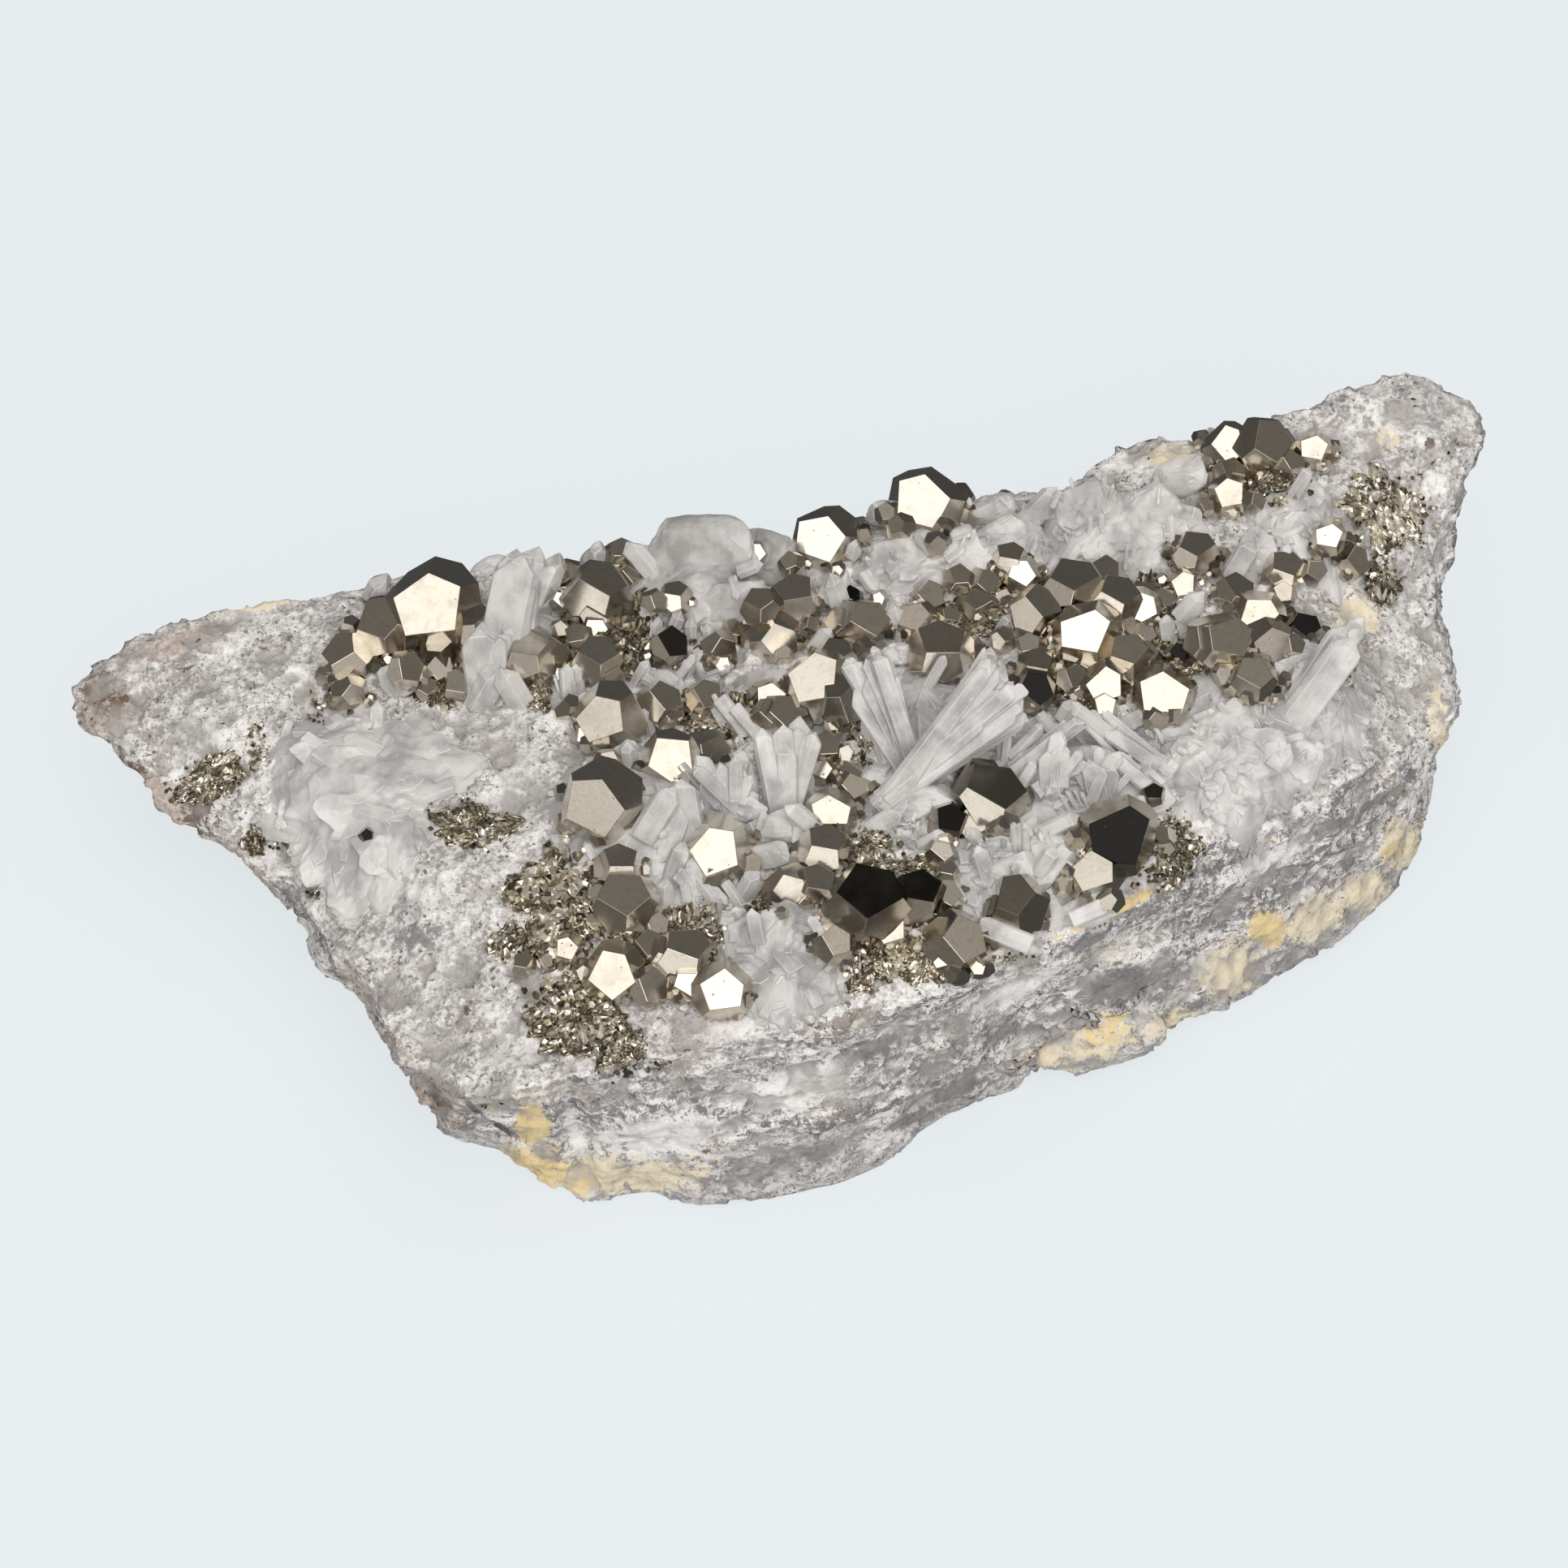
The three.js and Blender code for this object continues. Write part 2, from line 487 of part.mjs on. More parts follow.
// Quartz patches. bed: middle, half sizes in dots, turn and thickness in millimetres of the crust.
// prisms: middle of the visible length in dots, length and width in millimetres, the direction it points in
// the picture, its lean out of the picture in degrees, and its flatness.
const QUARTZ_PATCHES = {
  left: {
    beds: [[445, 975, 112, 96, -8, 4.2]],
    prisms: [[430, 905, 12, 7, 100, 40, 0.5], [405, 1030, 11, 6, 60, 40, 0.5]],
  },
  back_left: {
    beds: [[632, 770, 66, 62, 0, 6]],
    prisms: [[640, 722, 11, 6.5, 85, 25, 1], [682, 718, 8, 5, 95, 30, 1]],
  },
  back: {
    beds: [[862, 716, 92, 52, 8, 6.5]],
    prisms: [[793, 694, 7.5, 2.2, 135, 20, 1], [848, 672, 8, 5.5, 100, 35, 1], [890, 700, 8, 5, 70, 30, 1]],
  },
  back_centre: {
    beds: [[1190, 690, 130, 46, 4, 5.5], [1380, 662, 110, 52, 14, 6]],
    prisms: [[1296, 628, 9, 2.2, 110, 25, 1], [1392, 668, 8, 2.4, 60, 30, 1]],
  },
  right_back: {
    beds: [[1600, 648, 58, 66, 20, 4.5]],
    prisms: [],
  },
  centre: {
    beds: [[760, 1000, 170, 96, 4, 4.2]],
    prisms: [[950, 935, 9, 6, 110, 35, 0.6], [890, 985, 7, 2.2, 20, 15, 1]],
  },
  fan: {
    beds: [[1150, 900, 95, 120, -10, 6]],
    prisms: [[1150, 880, 17, 9, 62, 28, 0.55], [1110, 905, 15, 7, 95, 25, 0.6], [1190, 860, 15, 6.5, 48, 25, 0.6],
      [1095, 960, 12, 6.5, 120, 25, 0.7]],
  },
  spray: {
    beds: [[1330, 945, 130, 62, -4, 4.6]],
    prisms: [[1290, 916, 11, 2.6, 32, 14, 1], [1372, 915, 13, 2.8, -30, 14, 1], [1338, 955, 10, 2.6, 150, 20, 1]],
  },
  right: {
    beds: [[1570, 880, 128, 100, 16, 4.4]],
    prisms: [[1606, 832, 15, 5, 46, 18, 0.45], [1560, 900, 11, 6, 70, 35, 0.5]],
  },
  front: {
    beds: [[970, 1180, 82, 66, -6, 5.4]],
    prisms: [[925, 1185, 9, 5, 120, 35, 0.7], [985, 1200, 10, 6, 80, 40, 0.7]],
  },
  front_right: {
    beds: [[1280, 1075, 150, 72, 12, 4.6]],
    prisms: [[1242, 1148, 9, 5, 20, 30, 0.5], [1310, 1085, 8, 4, 60, 30, 0.8]],
  },
};

// Where a crust lies in plan: its middle, half sizes, turn and thickness
function bedOutline([right, down, across, along, turn, thickness]) {
  const centre = onSurface(right, down, topHeight);
  const size = [across / DOTS_PER_MM, along / DOTS_PER_MM / Math.sin(tilt)];
  return { centre, size, swing: THREE.MathUtils.degToRad(turn), thickness };
}

const quartzBeds = Object.values(QUARTZ_PATCHES).flatMap((patch) => patch.beds.map(bedOutline));

// Height of the top with the crust of quartz on it
function groundHeight(x, y) {
  let crust = 0;
  for (const { centre, size, swing, thickness } of quartzBeds) {
    const place = new THREE.Vector2(x - centre.x, y - centre.y).rotateAround(new THREE.Vector2(0, 0), -swing);
    const reach = Math.hypot(place.x / size[0], place.y / size[1]);
    if (reach < 1) {
      crust = Math.max(crust, thickness * Math.sqrt(1 - reach * reach) - BED_SINK);
    }
  }
  return topHeight(x, y) + crust;
}

function onGround(right, down, raised = 0) {
  return onSurface(right, down, groundHeight, raised);
}

// The faces of a quartz prism along its third direction: a flat foot, six sides and three end faces
function quartzPlanes(length, width, flatness, random) {
  const slope = THREE.MathUtils.degToRad(POINT_SLOPE);
  const planes = [{ direction: new THREE.Vector3(0, 0, -1), distance: length / 2 }];
  for (let side = 0; side < 6; side += 1) {
    const angle = (side * Math.PI) / 3;
    const outward = new THREE.Vector3(Math.cos(angle), Math.sin(angle), 0);
    const thin = THREE.MathUtils.lerp(1, flatness, Math.abs(outward.y));
    const spread = 1 + PRISM_SPREAD * (2 * random() - 1);
    planes.push({ direction: outward, distance: (width / 2) * thin * spread });
    if (side % 2 === 0) {
      const end = outward.clone().multiplyScalar(Math.sin(slope)).setZ(Math.cos(slope));
      const endSpread = 1 + PRISM_END_SPREAD * (2 * random() - 1);
      planes.push({ direction: end, distance: (length / 2) * Math.cos(slope) * endSpread });
    }
  }
  return planes;
}

// The three directions of a prism that points along a direction of the picture and leans towards the eye
function pointing(heading, lean, roll) {
  const angle = THREE.MathUtils.degToRad(heading);
  const out = THREE.MathUtils.degToRad(lean);
  const length = VIEW_RIGHT.clone()
    .multiplyScalar(Math.cos(angle) * Math.cos(out))
    .addScaledVector(VIEW_UP, Math.sin(angle) * Math.cos(out))
    .addScaledVector(VIEW_BACK, Math.sin(out));
  const side = length.clone().cross(VIEW_BACK).normalize().applyAxisAngle(length, roll);
  return [side, length.clone().cross(side), length];
}

function quartzPrism([right, down, length, width, heading, lean, flatness]) {
  const random = randomSource(right * 17 + down * 5);
  const centre = onGround(right, down, length * PRISM_LIFT.length + width * PRISM_LIFT.width);
  const planes = quartzPlanes(length, width, flatness, random);
  const roll = PRISM_ROLL * (2 * random() - 1);
  const prism = crystalSolid(planes, length * 3, pointing(heading, lean, roll));
  return prism.translate(centre.toArray());
}

// A low crust over an oval of the top, which it follows
function crustBed({ centre, size, swing, thickness }, roughness, margin) {
  const bed = bare(new THREE.IcosahedronGeometry(1, BED_DETAIL));
  const position = bed.attributes.position;
  for (let index = 0; index < position.count; index += 1) {
    const point = new THREE.Vector3().fromBufferAttribute(position, index);
    const swell = 1 + roughness * noise(point.x * 2 + centre.x, point.y * 2, 0);
    const plan = new THREE.Vector2(point.x * (size[0] * swell + margin), point.y * (size[1] * swell + margin));
    plan.rotateAround(new THREE.Vector2(0, 0), swing).add(new THREE.Vector2(centre.x, centre.y));
    const lumps = 1 + 2 * roughness * noise(plan.x / BED_WAVES, plan.y / BED_WAVES, NOISE_LEVEL.crust);
    const height = topHeight(plan.x, plan.y) + point.z * (thickness * lumps + margin) - BED_SINK;
    position.setXYZ(index, plan.x, plan.y, height);
  }
  return solidOf(bed);
}

// A granular patch is a thin crust with sharp knobs
function granularPatch([right, down, across, along, turn]) {
  return crustBed(bedOutline([right, down, across, along, turn, GRAIN_BED]), GRAIN_ROUGHNESS, 0);
}

function joined(solids) {
  return settled(wasm.Manifold.union(solids));
}

const specimen = new THREE.Group();

function addPiece(name, solid, material) {
  const piece = new THREE.Mesh(geometryOf(solid), material);
  piece.name = name;
  specimen.add(piece);
}

// Adds each separate body of what grew, named after the nearest of the places that were given a name
function addBodies(solid, places, material) {
  const used = new Map();
  const bodies = solid.decompose().filter((body) => body.volume() > CRUMB);
  for (const body of bodies.sort((a, b) => b.volume() - a.volume())) {
    const { min, max } = body.boundingBox();
    const centre = new THREE.Vector3(...min).add(new THREE.Vector3(...max)).multiplyScalar(0.5);
    const nearest = places.reduce((best, place) =>
      place.point.distanceTo(centre) < best.point.distanceTo(centre) ? place : best,
    );
    const count = (used.get(nearest.name) ?? 0) + 1;
    used.set(nearest.name, count);
    addPiece(count > 1 ? `${nearest.name}_${count}` : nearest.name, body, material);
  }
}

// The named places of a list of groups, each with a prefix for what it is made of
function placesOf(groups, prefix) {
  return Object.entries(groups).flatMap(([name, spots]) =>
    spots.map(([right, down]) => ({ name: `${prefix}_${name}`, point: onGround(right, down) })),
  );
}

addPiece("rock_matrix", slab, GRANITE);

// The crystals of pyrite stand on the slab and on the low crusts; the prisms are cut clear of them
const crystals = Object.values(PYRITE_CRYSTALS).flat();
const crystalBodies = joined(crystals.map((crystal) => pyriteCrystal(crystal, 0)));
const swollenCrystals = joined(crystals.map((crystal) => pyriteCrystal(crystal, GAP)));

const grainPatches = Object.values(PYRITE_GRAINS).flat();
const grains = joined(grainPatches.map(granularPatch));

const crust = joined(quartzBeds.map((bed) => crustBed(bed, BED_ROUGHNESS, 0)));
const swollenCrust = joined(quartzBeds.map((bed) => crustBed(bed, BED_ROUGHNESS, GAP)));
const prisms = joined(Object.values(QUARTZ_PATCHES).flatMap((patch) => patch.prisms.map(quartzPrism)));
const quartz = settled(prisms.subtract(swollenCrystals)).add(crust);
const ground = settled(swollenCrust.add(slabWithGap));
const quartzGroups = Object.entries(QUARTZ_PATCHES).map(([name, patch]) => [name, patch.beds]);

addBodies(crystalBodies.subtract(ground), placesOf(PYRITE_CRYSTALS, "pyrite"), PYRITE);
addBodies(
  grains.subtract(settled(ground.add(swollenCrystals))),
  placesOf(PYRITE_GRAINS, "pyrite_grains"),
  GRAINS,
);
addBodies(quartz.subtract(slabWithGap), placesOf(Object.fromEntries(quartzGroups), "quartz"), QUARTZ);

const box = new THREE.Box3().setFromObject(specimen);
const middle = box.getCenter(new THREE.Vector3());
specimen.position.set(-middle.x, -middle.y, -box.min.z);

export default specimen;
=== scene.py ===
"""A cabinet specimen of pyrite on quartz: a granite slab, quartz crusts and prisms, pyrite crystals and grains."""
import logging
import math
import random
from dataclasses import dataclass, field
from enum import Enum
from typing import Any, Callable, Iterable, Sequence

import bmesh
import bpy
import numpy as np
from mathutils import Matrix, Vector, noise
from mathutils.bvhtree import BVHTree


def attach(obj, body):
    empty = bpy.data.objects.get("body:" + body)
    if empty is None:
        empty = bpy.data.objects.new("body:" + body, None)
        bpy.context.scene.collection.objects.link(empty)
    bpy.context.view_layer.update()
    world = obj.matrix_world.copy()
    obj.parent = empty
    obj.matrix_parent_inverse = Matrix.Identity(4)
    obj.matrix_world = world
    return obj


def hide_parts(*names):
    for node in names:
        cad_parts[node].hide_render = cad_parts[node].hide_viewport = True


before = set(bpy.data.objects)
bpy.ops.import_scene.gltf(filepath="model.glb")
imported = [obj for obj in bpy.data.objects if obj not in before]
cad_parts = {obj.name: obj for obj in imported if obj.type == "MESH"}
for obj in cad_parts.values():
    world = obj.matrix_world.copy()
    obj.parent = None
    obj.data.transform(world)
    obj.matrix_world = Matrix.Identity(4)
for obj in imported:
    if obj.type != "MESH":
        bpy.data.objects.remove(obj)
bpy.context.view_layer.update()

log = logging.getLogger("specimen")

MM = 0.001
BODY = "root"
PICTURE = 1932  # side of the picture in dots
NOTHING = 1e-9  # too small to matter

Number = "Value | float"
Numbers = Sequence[float]
Rows = Sequence[tuple]
Mesh = bmesh.types.BMesh
Material = bpy.types.Material


class Grade(Enum):
    """How coarse a granular patch of pyrite is."""

    FINE = 0.42
    MEDIUM = 0.62
    COARSE = 0.95


@dataclass(frozen=True)
class PhotoView:
    """The photograph's camera, and what its directions and points mean in the specimen's frame.

    It looks down at aim by tilt degrees, and the picture's width is spread times the distance.
    """

    distance: float = 505 * MM
    tilt: float = 45.0
    spread: float = 0.36
    aim: Vector = field(default_factory=lambda: Vector((-1.0573, 17.97, 0.0)) * MM)
    sensor: float = 36.0
    nearest: float = 10 * MM

    @property
    def right(self) -> Vector:
        """The picture's direction to the right."""
        return Vector((1, 0, 0))

    @property
    def up(self) -> Vector:
        """The picture's direction up."""
        angle = math.radians(self.tilt)
        return Vector((0, math.sin(angle), math.cos(angle)))

    @property
    def back(self) -> Vector:
        """The direction from the specimen to the eye."""
        return self.right.cross(self.up)

    @property
    def eye(self) -> Vector:
        """Where the eye is."""
        return self.aim + self.back * self.distance

    @property
    def dot(self) -> float:
        """The real size of one picture dot at the middle of the picture."""
        return self.spread * self.distance / PICTURE

    def plan_size(self, across: float, along: float) -> tuple[float, float]:
        """Width and depth in plan of what shows across and along dots large."""
        return across * self.dot, along * self.dot / math.sin(math.radians(self.tilt))

    def ray(self, right: float, down: float) -> Vector:
        """The direction of sight through a point of the picture.

        Args:
            right: dots from the picture's left edge.
            down: dots from its top edge.

        Returns:
            The unit direction away from the eye.
        """
        aside = (right / PICTURE - 0.5) * self.spread
        above = (0.5 - down / PICTURE) * self.spread
        return (-self.back + self.right * aside + self.up * above).normalized()

    def project(self, points: np.ndarray) -> np.ndarray:
        """Where points of the frame show in the picture.

        Args:
            points: an array of places, one a row.

        Returns:
            An array with the dots to the right and the dots down of each.
        """
        away = points - np.array(self.eye)
        depth = away @ np.array(-self.back)
        right = (away @ np.array(self.right)) / depth / self.spread + 0.5
        down = 0.5 - (away @ np.array(self.up)) / depth / self.spread
        return np.stack([right, down], axis=1) * PICTURE

    def facing(self, turned: float, raised: float, spin: float) -> Matrix:
        """The axes of a crystal whose front face looks at the eye.

        Args:
            turned: degrees that the front face is turned to the right.
            raised: degrees that it is tipped up.
            spin: direction in the picture of the crystal's point, in degrees from the right.

        Returns:
            A matrix whose columns are the point, the side and the front.
        """
        side, rise, angle = (math.radians(value) for value in (turned, raised, spin))
        front = self.back * (math.cos(side) * math.cos(rise))
        front += self.right * (math.sin(side) * math.cos(rise)) + self.up * math.sin(rise)
        point = self.right * math.cos(angle) + self.up * math.sin(angle)
        point = (point - front * point.dot(front)).normalized()
        return Matrix((point, front.cross(point), front)).transposed()

    def pointing(self, heading: float, lean: float, roll: float) -> Matrix:
        """The axes of a prism that points along a direction of the picture.

        Args:
            heading: the direction in the picture, in degrees from the right.
            lean: degrees that it leans out of the picture towards the eye.
            roll: degrees that it is turned about its own length.

        Returns:
            A matrix whose last column is the prism's length.
        """
        angle, out = math.radians(heading), math.radians(lean)
        length = self.right * (math.cos(angle) * math.cos(out)) + self.up * (math.sin(angle) * math.cos(out))
        length += self.back * math.sin(out)
        side = Matrix.Rotation(math.radians(roll), 3, length) @ length.cross(self.back).normalized()
        return Matrix((side, length.cross(side), length)).transposed()

    def add_camera(self) -> None:
        """Adds the photograph's camera to the scene."""
        lens = bpy.data.cameras.new("camera")
        lens.sensor_width = self.sensor
        lens.sensor_fit = "HORIZONTAL"
        lens.lens = lens.sensor_width / self.spread
        lens.clip_start = self.nearest
        camera = bpy.data.objects.new("camera", lens)
        turn = Matrix((self.right, self.up, self.back)).transposed().to_4x4()
        camera.matrix_world = Matrix.Translation(self.eye) @ turn
        bpy.context.scene.collection.objects.link(camera)
        bpy.context.scene.camera = camera


VIEW = PhotoView()


class Value:
    """A number that a shader works out, so that its maths is written as it is meant."""

    def __init__(self, bench: "Bench", socket: bpy.types.NodeSocket) -> None:
        """Wraps a socket of the bench's node tree."""
        self.bench = bench
        self.socket = socket

    def _sum(self, operation: str, *values: Number) -> "Value":
        """A Math node on values, in order."""
        return self.bench.node("ShaderNodeMath", {"operation": operation}, list(values))[0]

    def __add__(self, other: Number) -> "Value":
        """self + other."""
        return self._sum("ADD", self, other)

    def __radd__(self, other: float) -> "Value":
        """other + self."""
        return self._sum("ADD", other, self)

    def __sub__(self, other: Number) -> "Value":
        """self - other."""
        return self._sum("SUBTRACT", self, other)

    def __rsub__(self, other: float) -> "Value":
        """other - self."""
        return self._sum("SUBTRACT", other, self)

    def __mul__(self, other: Number) -> "Value":
        """self * other."""
        return self._sum("MULTIPLY", self, other)

    def __rmul__(self, other: float) -> "Value":
        """other * self."""
        return self._sum("MULTIPLY", other, self)

    def between(self, low: float, high: float) -> "Value":
        """Rises smoothly from 0 where self is low to 1 where it is high.

        Args:
            low: the value that gives 0.
            high: the value that gives 1, which may be the lower one.

        Returns:
            The share.
        """
        ends = [low, high, 0.0, 1.0] if low < high else [high, low, 1.0, 0.0]
        return self.bench.node("ShaderNodeMapRange", {"interpolation_type": "SMOOTHSTEP"}, [self, *ends])[0]


class Outputs:
    """The outputs of a node, by name or by number."""

    def __init__(self, bench: "Bench", node: bpy.types.Node) -> None:
        """Keeps the node."""
        self.bench = bench
        self.made = node

    def __getitem__(self, key: str | int) -> Value:
        """The output of that name or number."""
        return Value(self.bench, self.made.outputs[key])


class Bench:
    """A node tree in the making."""

    def __init__(self, tree: bpy.types.NodeTree) -> None:
        """Takes the tree and empties it."""
        self.tree = tree
        tree.nodes.clear()

    def node(
        self,
        kind: str,
        settings: dict[str, Any] | None = None,
        sockets: dict[str | int, Any] | list[Any] | None = None,
    ) -> Outputs:
        """Adds any node.

        Args:
            kind: the node's type.
            settings: its properties, which are set first. stops gives the colours of a ramp by place.
            sockets: values or links of its inputs, by name or number, or a list in order.

        Returns:
            The node's outputs.
        """
        made = self.tree.nodes.new(kind)
        for name, value in (settings or {}).items():
            if name == "stops":
                elements = made.color_ramp.elements
                while len(elements) < len(value):
                    elements.new(0.5)
                for element, (place, colour) in zip(elements, value):
                    element.position = place
                    element.color = (*colour, 1.0)
            else:
                setattr(made, name, value)
        given = dict(enumerate(sockets)) if isinstance(sockets, list) else (sockets or {})
        for key, value in given.items():
            if isinstance(value, Value):
                self.tree.links.new(value.socket, made.inputs[key])
            elif isinstance(value, (tuple, list)) and len(value) == 3 and made.inputs[key].type == "RGBA":
                made.inputs[key].default_value = (*value, 1.0)
            else:
                made.inputs[key].default_value = value
        return Outputs(self, made)

    def place(self, stretch: Numbers = (1, 1, 1), turn: Numbers = (0, 0, 0)) -> Value:
        """The place on the piece in millimetres.

        Args:
            stretch: what each direction is multiplied by.
            turn: degrees that it is turned about each axis.

        Returns:
            The place.
        """
        spot = self.node("ShaderNodeTexCoord")["Object"]
        scale = tuple(value / MM for value in stretch)
        angles = tuple(math.radians(value) for value in turn)
        return self.node("ShaderNodeMapping", {}, {"Vector": spot, "Rotation": angles, "Scale": scale})[0]

    def noise(self, place: Value, size: float, detail: float = 3, rough: float = 0.55, warp: float = 0) -> Value:
        """Cloudy noise whose lumps are about size across."""
        sockets = {"Vector": place, "Scale": 1 / size, "Detail": detail, "Roughness": rough, "Distortion": warp}
        return self.node("ShaderNodeTexNoise", {}, sockets)[0]

    def cells(self, place: Value, size: float) -> Outputs:
        """A pattern of cells about size across."""
        return self.node("ShaderNodeTexVoronoi", {"feature": "F1"}, {"Vector": place, "Scale": 1 / size})

    def attribute(self, name: str) -> Value:
        """A number that the mesh carries."""
        return self.node("ShaderNodeAttribute", {"attribute_name": name})["Fac"]

    def mix(self, share: Number, first: Any, second: Any) -> Value:
        """A colour between two colours."""
        return self.node("ShaderNodeMix", {"data_type": "RGBA"}, {0: share, 6: first, 7: second})[2]

    def ramp(self, share: Value, *stops: tuple[float, Numbers]) -> Value:
        """A colour from a row of colours."""
        return self.node("ShaderNodeValToRGB", {"stops": stops}, {0: share})[0]

    def bump(self, height: Value, depth: float, onto: Value | None = None) -> Value:
        """A normal for relief.

        Args:
            height: the relief.
            depth: millimetres for a height of 1.
            onto: a coarser normal that it lies on.

        Returns:
            The normal.
        """
        sockets = {"Height": height, "Distance": depth * MM, "Strength": 1.0}
        if onto is not None:
            sockets["Normal"] = onto
        return self.node("ShaderNodeBump", {}, sockets)[0]

    def surface(self, colour: Any, rough: Number, others: dict[str, Any]) -> Value:
        """A surface of a colour and roughness, with its other sockets by name."""
        return self.node("ShaderNodeBsdfPrincipled", {}, {"Base Color": colour, "Roughness": rough, **others})[0]


def new_material(name: str, dress: Callable[[Bench], Value]) -> Material:
    """Makes a material.

    Args:
        name: its name.
        dress: adds its nodes to a bench and gives back the shader.

    Returns:
        The material.
    """
    material = bpy.data.materials.new(name)
    material.use_nodes = True
    bench = Bench(material.node_tree)
    shader = dress(bench)
    bench.node("ShaderNodeOutputMaterial", {}, {"Surface": shader})
    return material


@dataclass(frozen=True)
class Finish:
    """A finish, whose material is named for it."""

    name: str

    def material(self) -> Material:
        """The finish's material."""
        return new_material(self.name, self._dress)

    def _dress(self, bench: Bench) -> Value:
        """Adds the finish's nodes.

        Args:
            bench: the node tree in the making.

        Returns:
            The shader.
        """
        raise NotImplementedError


@dataclass(frozen=True)
class GraniteFinish(Finish):
    """Altered granite: pale grains, dark flakes drawn out along the layers, and iron stains, with painted shade in the
    hollows and low on the steep sides.

    A stain has the name of its colour, how much it covers and how soft its edge is.
    """

    name: str = "granite"
    white: Numbers = (0.83, 0.81, 0.79)
    pale: Numbers = (0.68, 0.655, 0.635)
    grey: Numbers = (0.50, 0.48, 0.47)
    shade: Numbers = (0.33, 0.31, 0.30)
    lilac: Numbers = (0.42, 0.395, 0.40)
    purple: Numbers = (0.20, 0.185, 0.19)
    dark: Numbers = (0.075, 0.065, 0.055)
    umber: Numbers = (0.22, 0.16, 0.11)
    tan: Numbers = (0.60, 0.52, 0.42)
    rust: Numbers = (0.12, 0.07, 0.045)
    gold: Numbers = (0.80, 0.61, 0.31)
    brown: Numbers = (0.46, 0.37, 0.32)
    cream: Numbers = (0.78, 0.68, 0.50)
    stains: Sequence[tuple[str, float, float]] = (
        ("white", 0.8, 0.15), ("purple", 0.85, 0.15), ("brown", 0.72, 0.15), ("cream", 0.9, 0.15),
        ("gold", 0.9, 0.15), ("rust", 0.88, 0.06), ("dark", 0.9, 0.15),
    )
    stain_ragged: float = 2.2
    # painted shade low on the steep sides: its top and bottom heights in millimetres, its raggedness and its strength
    foot_top: float = 13
    foot_bottom: float = 2
    foot_ragged: float = 14
    painted_foot_shade: float = 0.4
    painted_hollow_shade: float = 0.78
    layer_turn: Numbers = (3, -4, 0)
    rough: float = 0.8
    gloss: float = 0.35
    relief: float = 0.13

    def _dress(self, bench: Bench) -> Value:
        """Colours from cloudy noise and grains, with the stains that the mesh carries, painted shade low on the steep
        sides and painted shade in the hollows.

        Args:
            bench: the node tree in the making.

        Returns:
            The shader.
        """
        place = bench.place()
        ground = self._ground(bench, place)
        sides = self._layers(bench, place)
        # painted shade: the steep sides are darkened towards lilac grey near the bottom of the slab
        height = bench.node("ShaderNodeSeparateXYZ", {}, [place])["Z"]
        foot = height + (bench.noise(place, 5.0, 4, 0.6) - 0.5) * self.foot_ragged
        foot = foot.between(self.foot_top, self.foot_bottom)
        sides = bench.mix(foot * self.painted_foot_shade, sides, self.lilac)
        colour = bench.mix(bench.attribute("steep").between(0.1, 0.7), ground, sides)
        colour = self._specks(bench, place, colour)
        ragged = (bench.noise(place, 1.2, 6, 0.75) - 0.5) * self.stain_ragged
        for name, cover, soft in self.stains:
            amount = bench.attribute(name)
            stain = (amount + ragged).between(0.5 - soft, 0.5 + soft)
            colour = bench.mix(stain * amount.between(0.0, 0.3) * cover, colour, getattr(self, name))
        # painted shade: where the carved relief is low, the colour is darkened towards the shade colour
        colour = bench.mix(bench.attribute("depth").between(0.46, 0.18) * self.painted_hollow_shade, colour, self.shade)
        relief = bench.noise(place, 0.24, 3, 0.65) + bench.noise(place, 0.8, 3, 0.6) * 1.2
        others = {"Normal": bench.bump(relief, self.relief), "Specular IOR Level": self.gloss}
        return bench.surface(colour, self.rough, others)

    def _ground(self, bench: Bench, place: Value) -> Value:
        """The grainy upper side: white and grey grains of half a millimetre, in cloudy patches.

        Args:
            bench: the node tree in the making.
            place: the place on the slab.

        Returns:
            The colour.
        """
        clouds = bench.noise(place, 6.0, 4, 0.6)
        middle = bench.noise(place, 1.4, 4, 0.7)
        fine = bench.noise(place, 0.36, 3, 0.65)
        grain = bench.cells(place, 0.5)["Color"]
        share = clouds * 0.34 + middle * 0.3 + fine * 0.24 + grain * 0.12
        colour = bench.ramp(share, (0.43, self.shade), (0.468, self.grey), (0.51, self.pale), (0.565, self.white))
        lilac = bench.noise(place, 5.0, 3, 0.6).between(0.56, 0.7) * 0.45
        return bench.mix(lilac, colour, self.lilac)

    def _layers(self, bench: Bench, place: Value) -> Value:
        """The broken sides: pale and dark layers with grains in them.

        Args:
            bench: the node tree in the making.
            place: the place on the slab.

        Returns:
            The colour.
        """
        bands = bench.noise(self._drawn_out(bench, 0.22, 1.0), 2.6, 4, 0.62, 0.6)
        grains = bench.noise(self._drawn_out(bench, 0.7, 1.0), 1.0, 5, 0.75, 0.3)
        fine = bench.noise(place, 0.3, 3, 0.65)
        crumbs = bench.cells(bench.place((0.7, 0.7, 1.0)), 0.7)["Color"]
        share = bands * 0.28 + grains * 0.34 + fine * 0.26 + crumbs * 0.12
        colour = bench.ramp(
            share,
            (0.458, self.purple), (0.479, self.lilac), (0.498, self.grey), (0.522, self.pale), (0.551, self.white),
        )
        seams = bench.noise(self._drawn_out(bench, 0.16, 1.0), 0.8, 3, 0.6, 0.8).between(0.6, 0.66)
        colour = bench.mix(seams * grains.between(0.42, 0.5) * 0.7, colour, self.purple)
        tan = bench.noise(place, 9.0, 3, 0.6).between(0.5, 0.66) * 0.4
        return bench.mix(tan, colour, self.tan)

    def _drawn_out(self, bench: Bench, along: float, through: float) -> Value:
        """The place on the slab, shrunk differently along the layers and through them."""
        return bench.place((along, along, through), self.layer_turn)

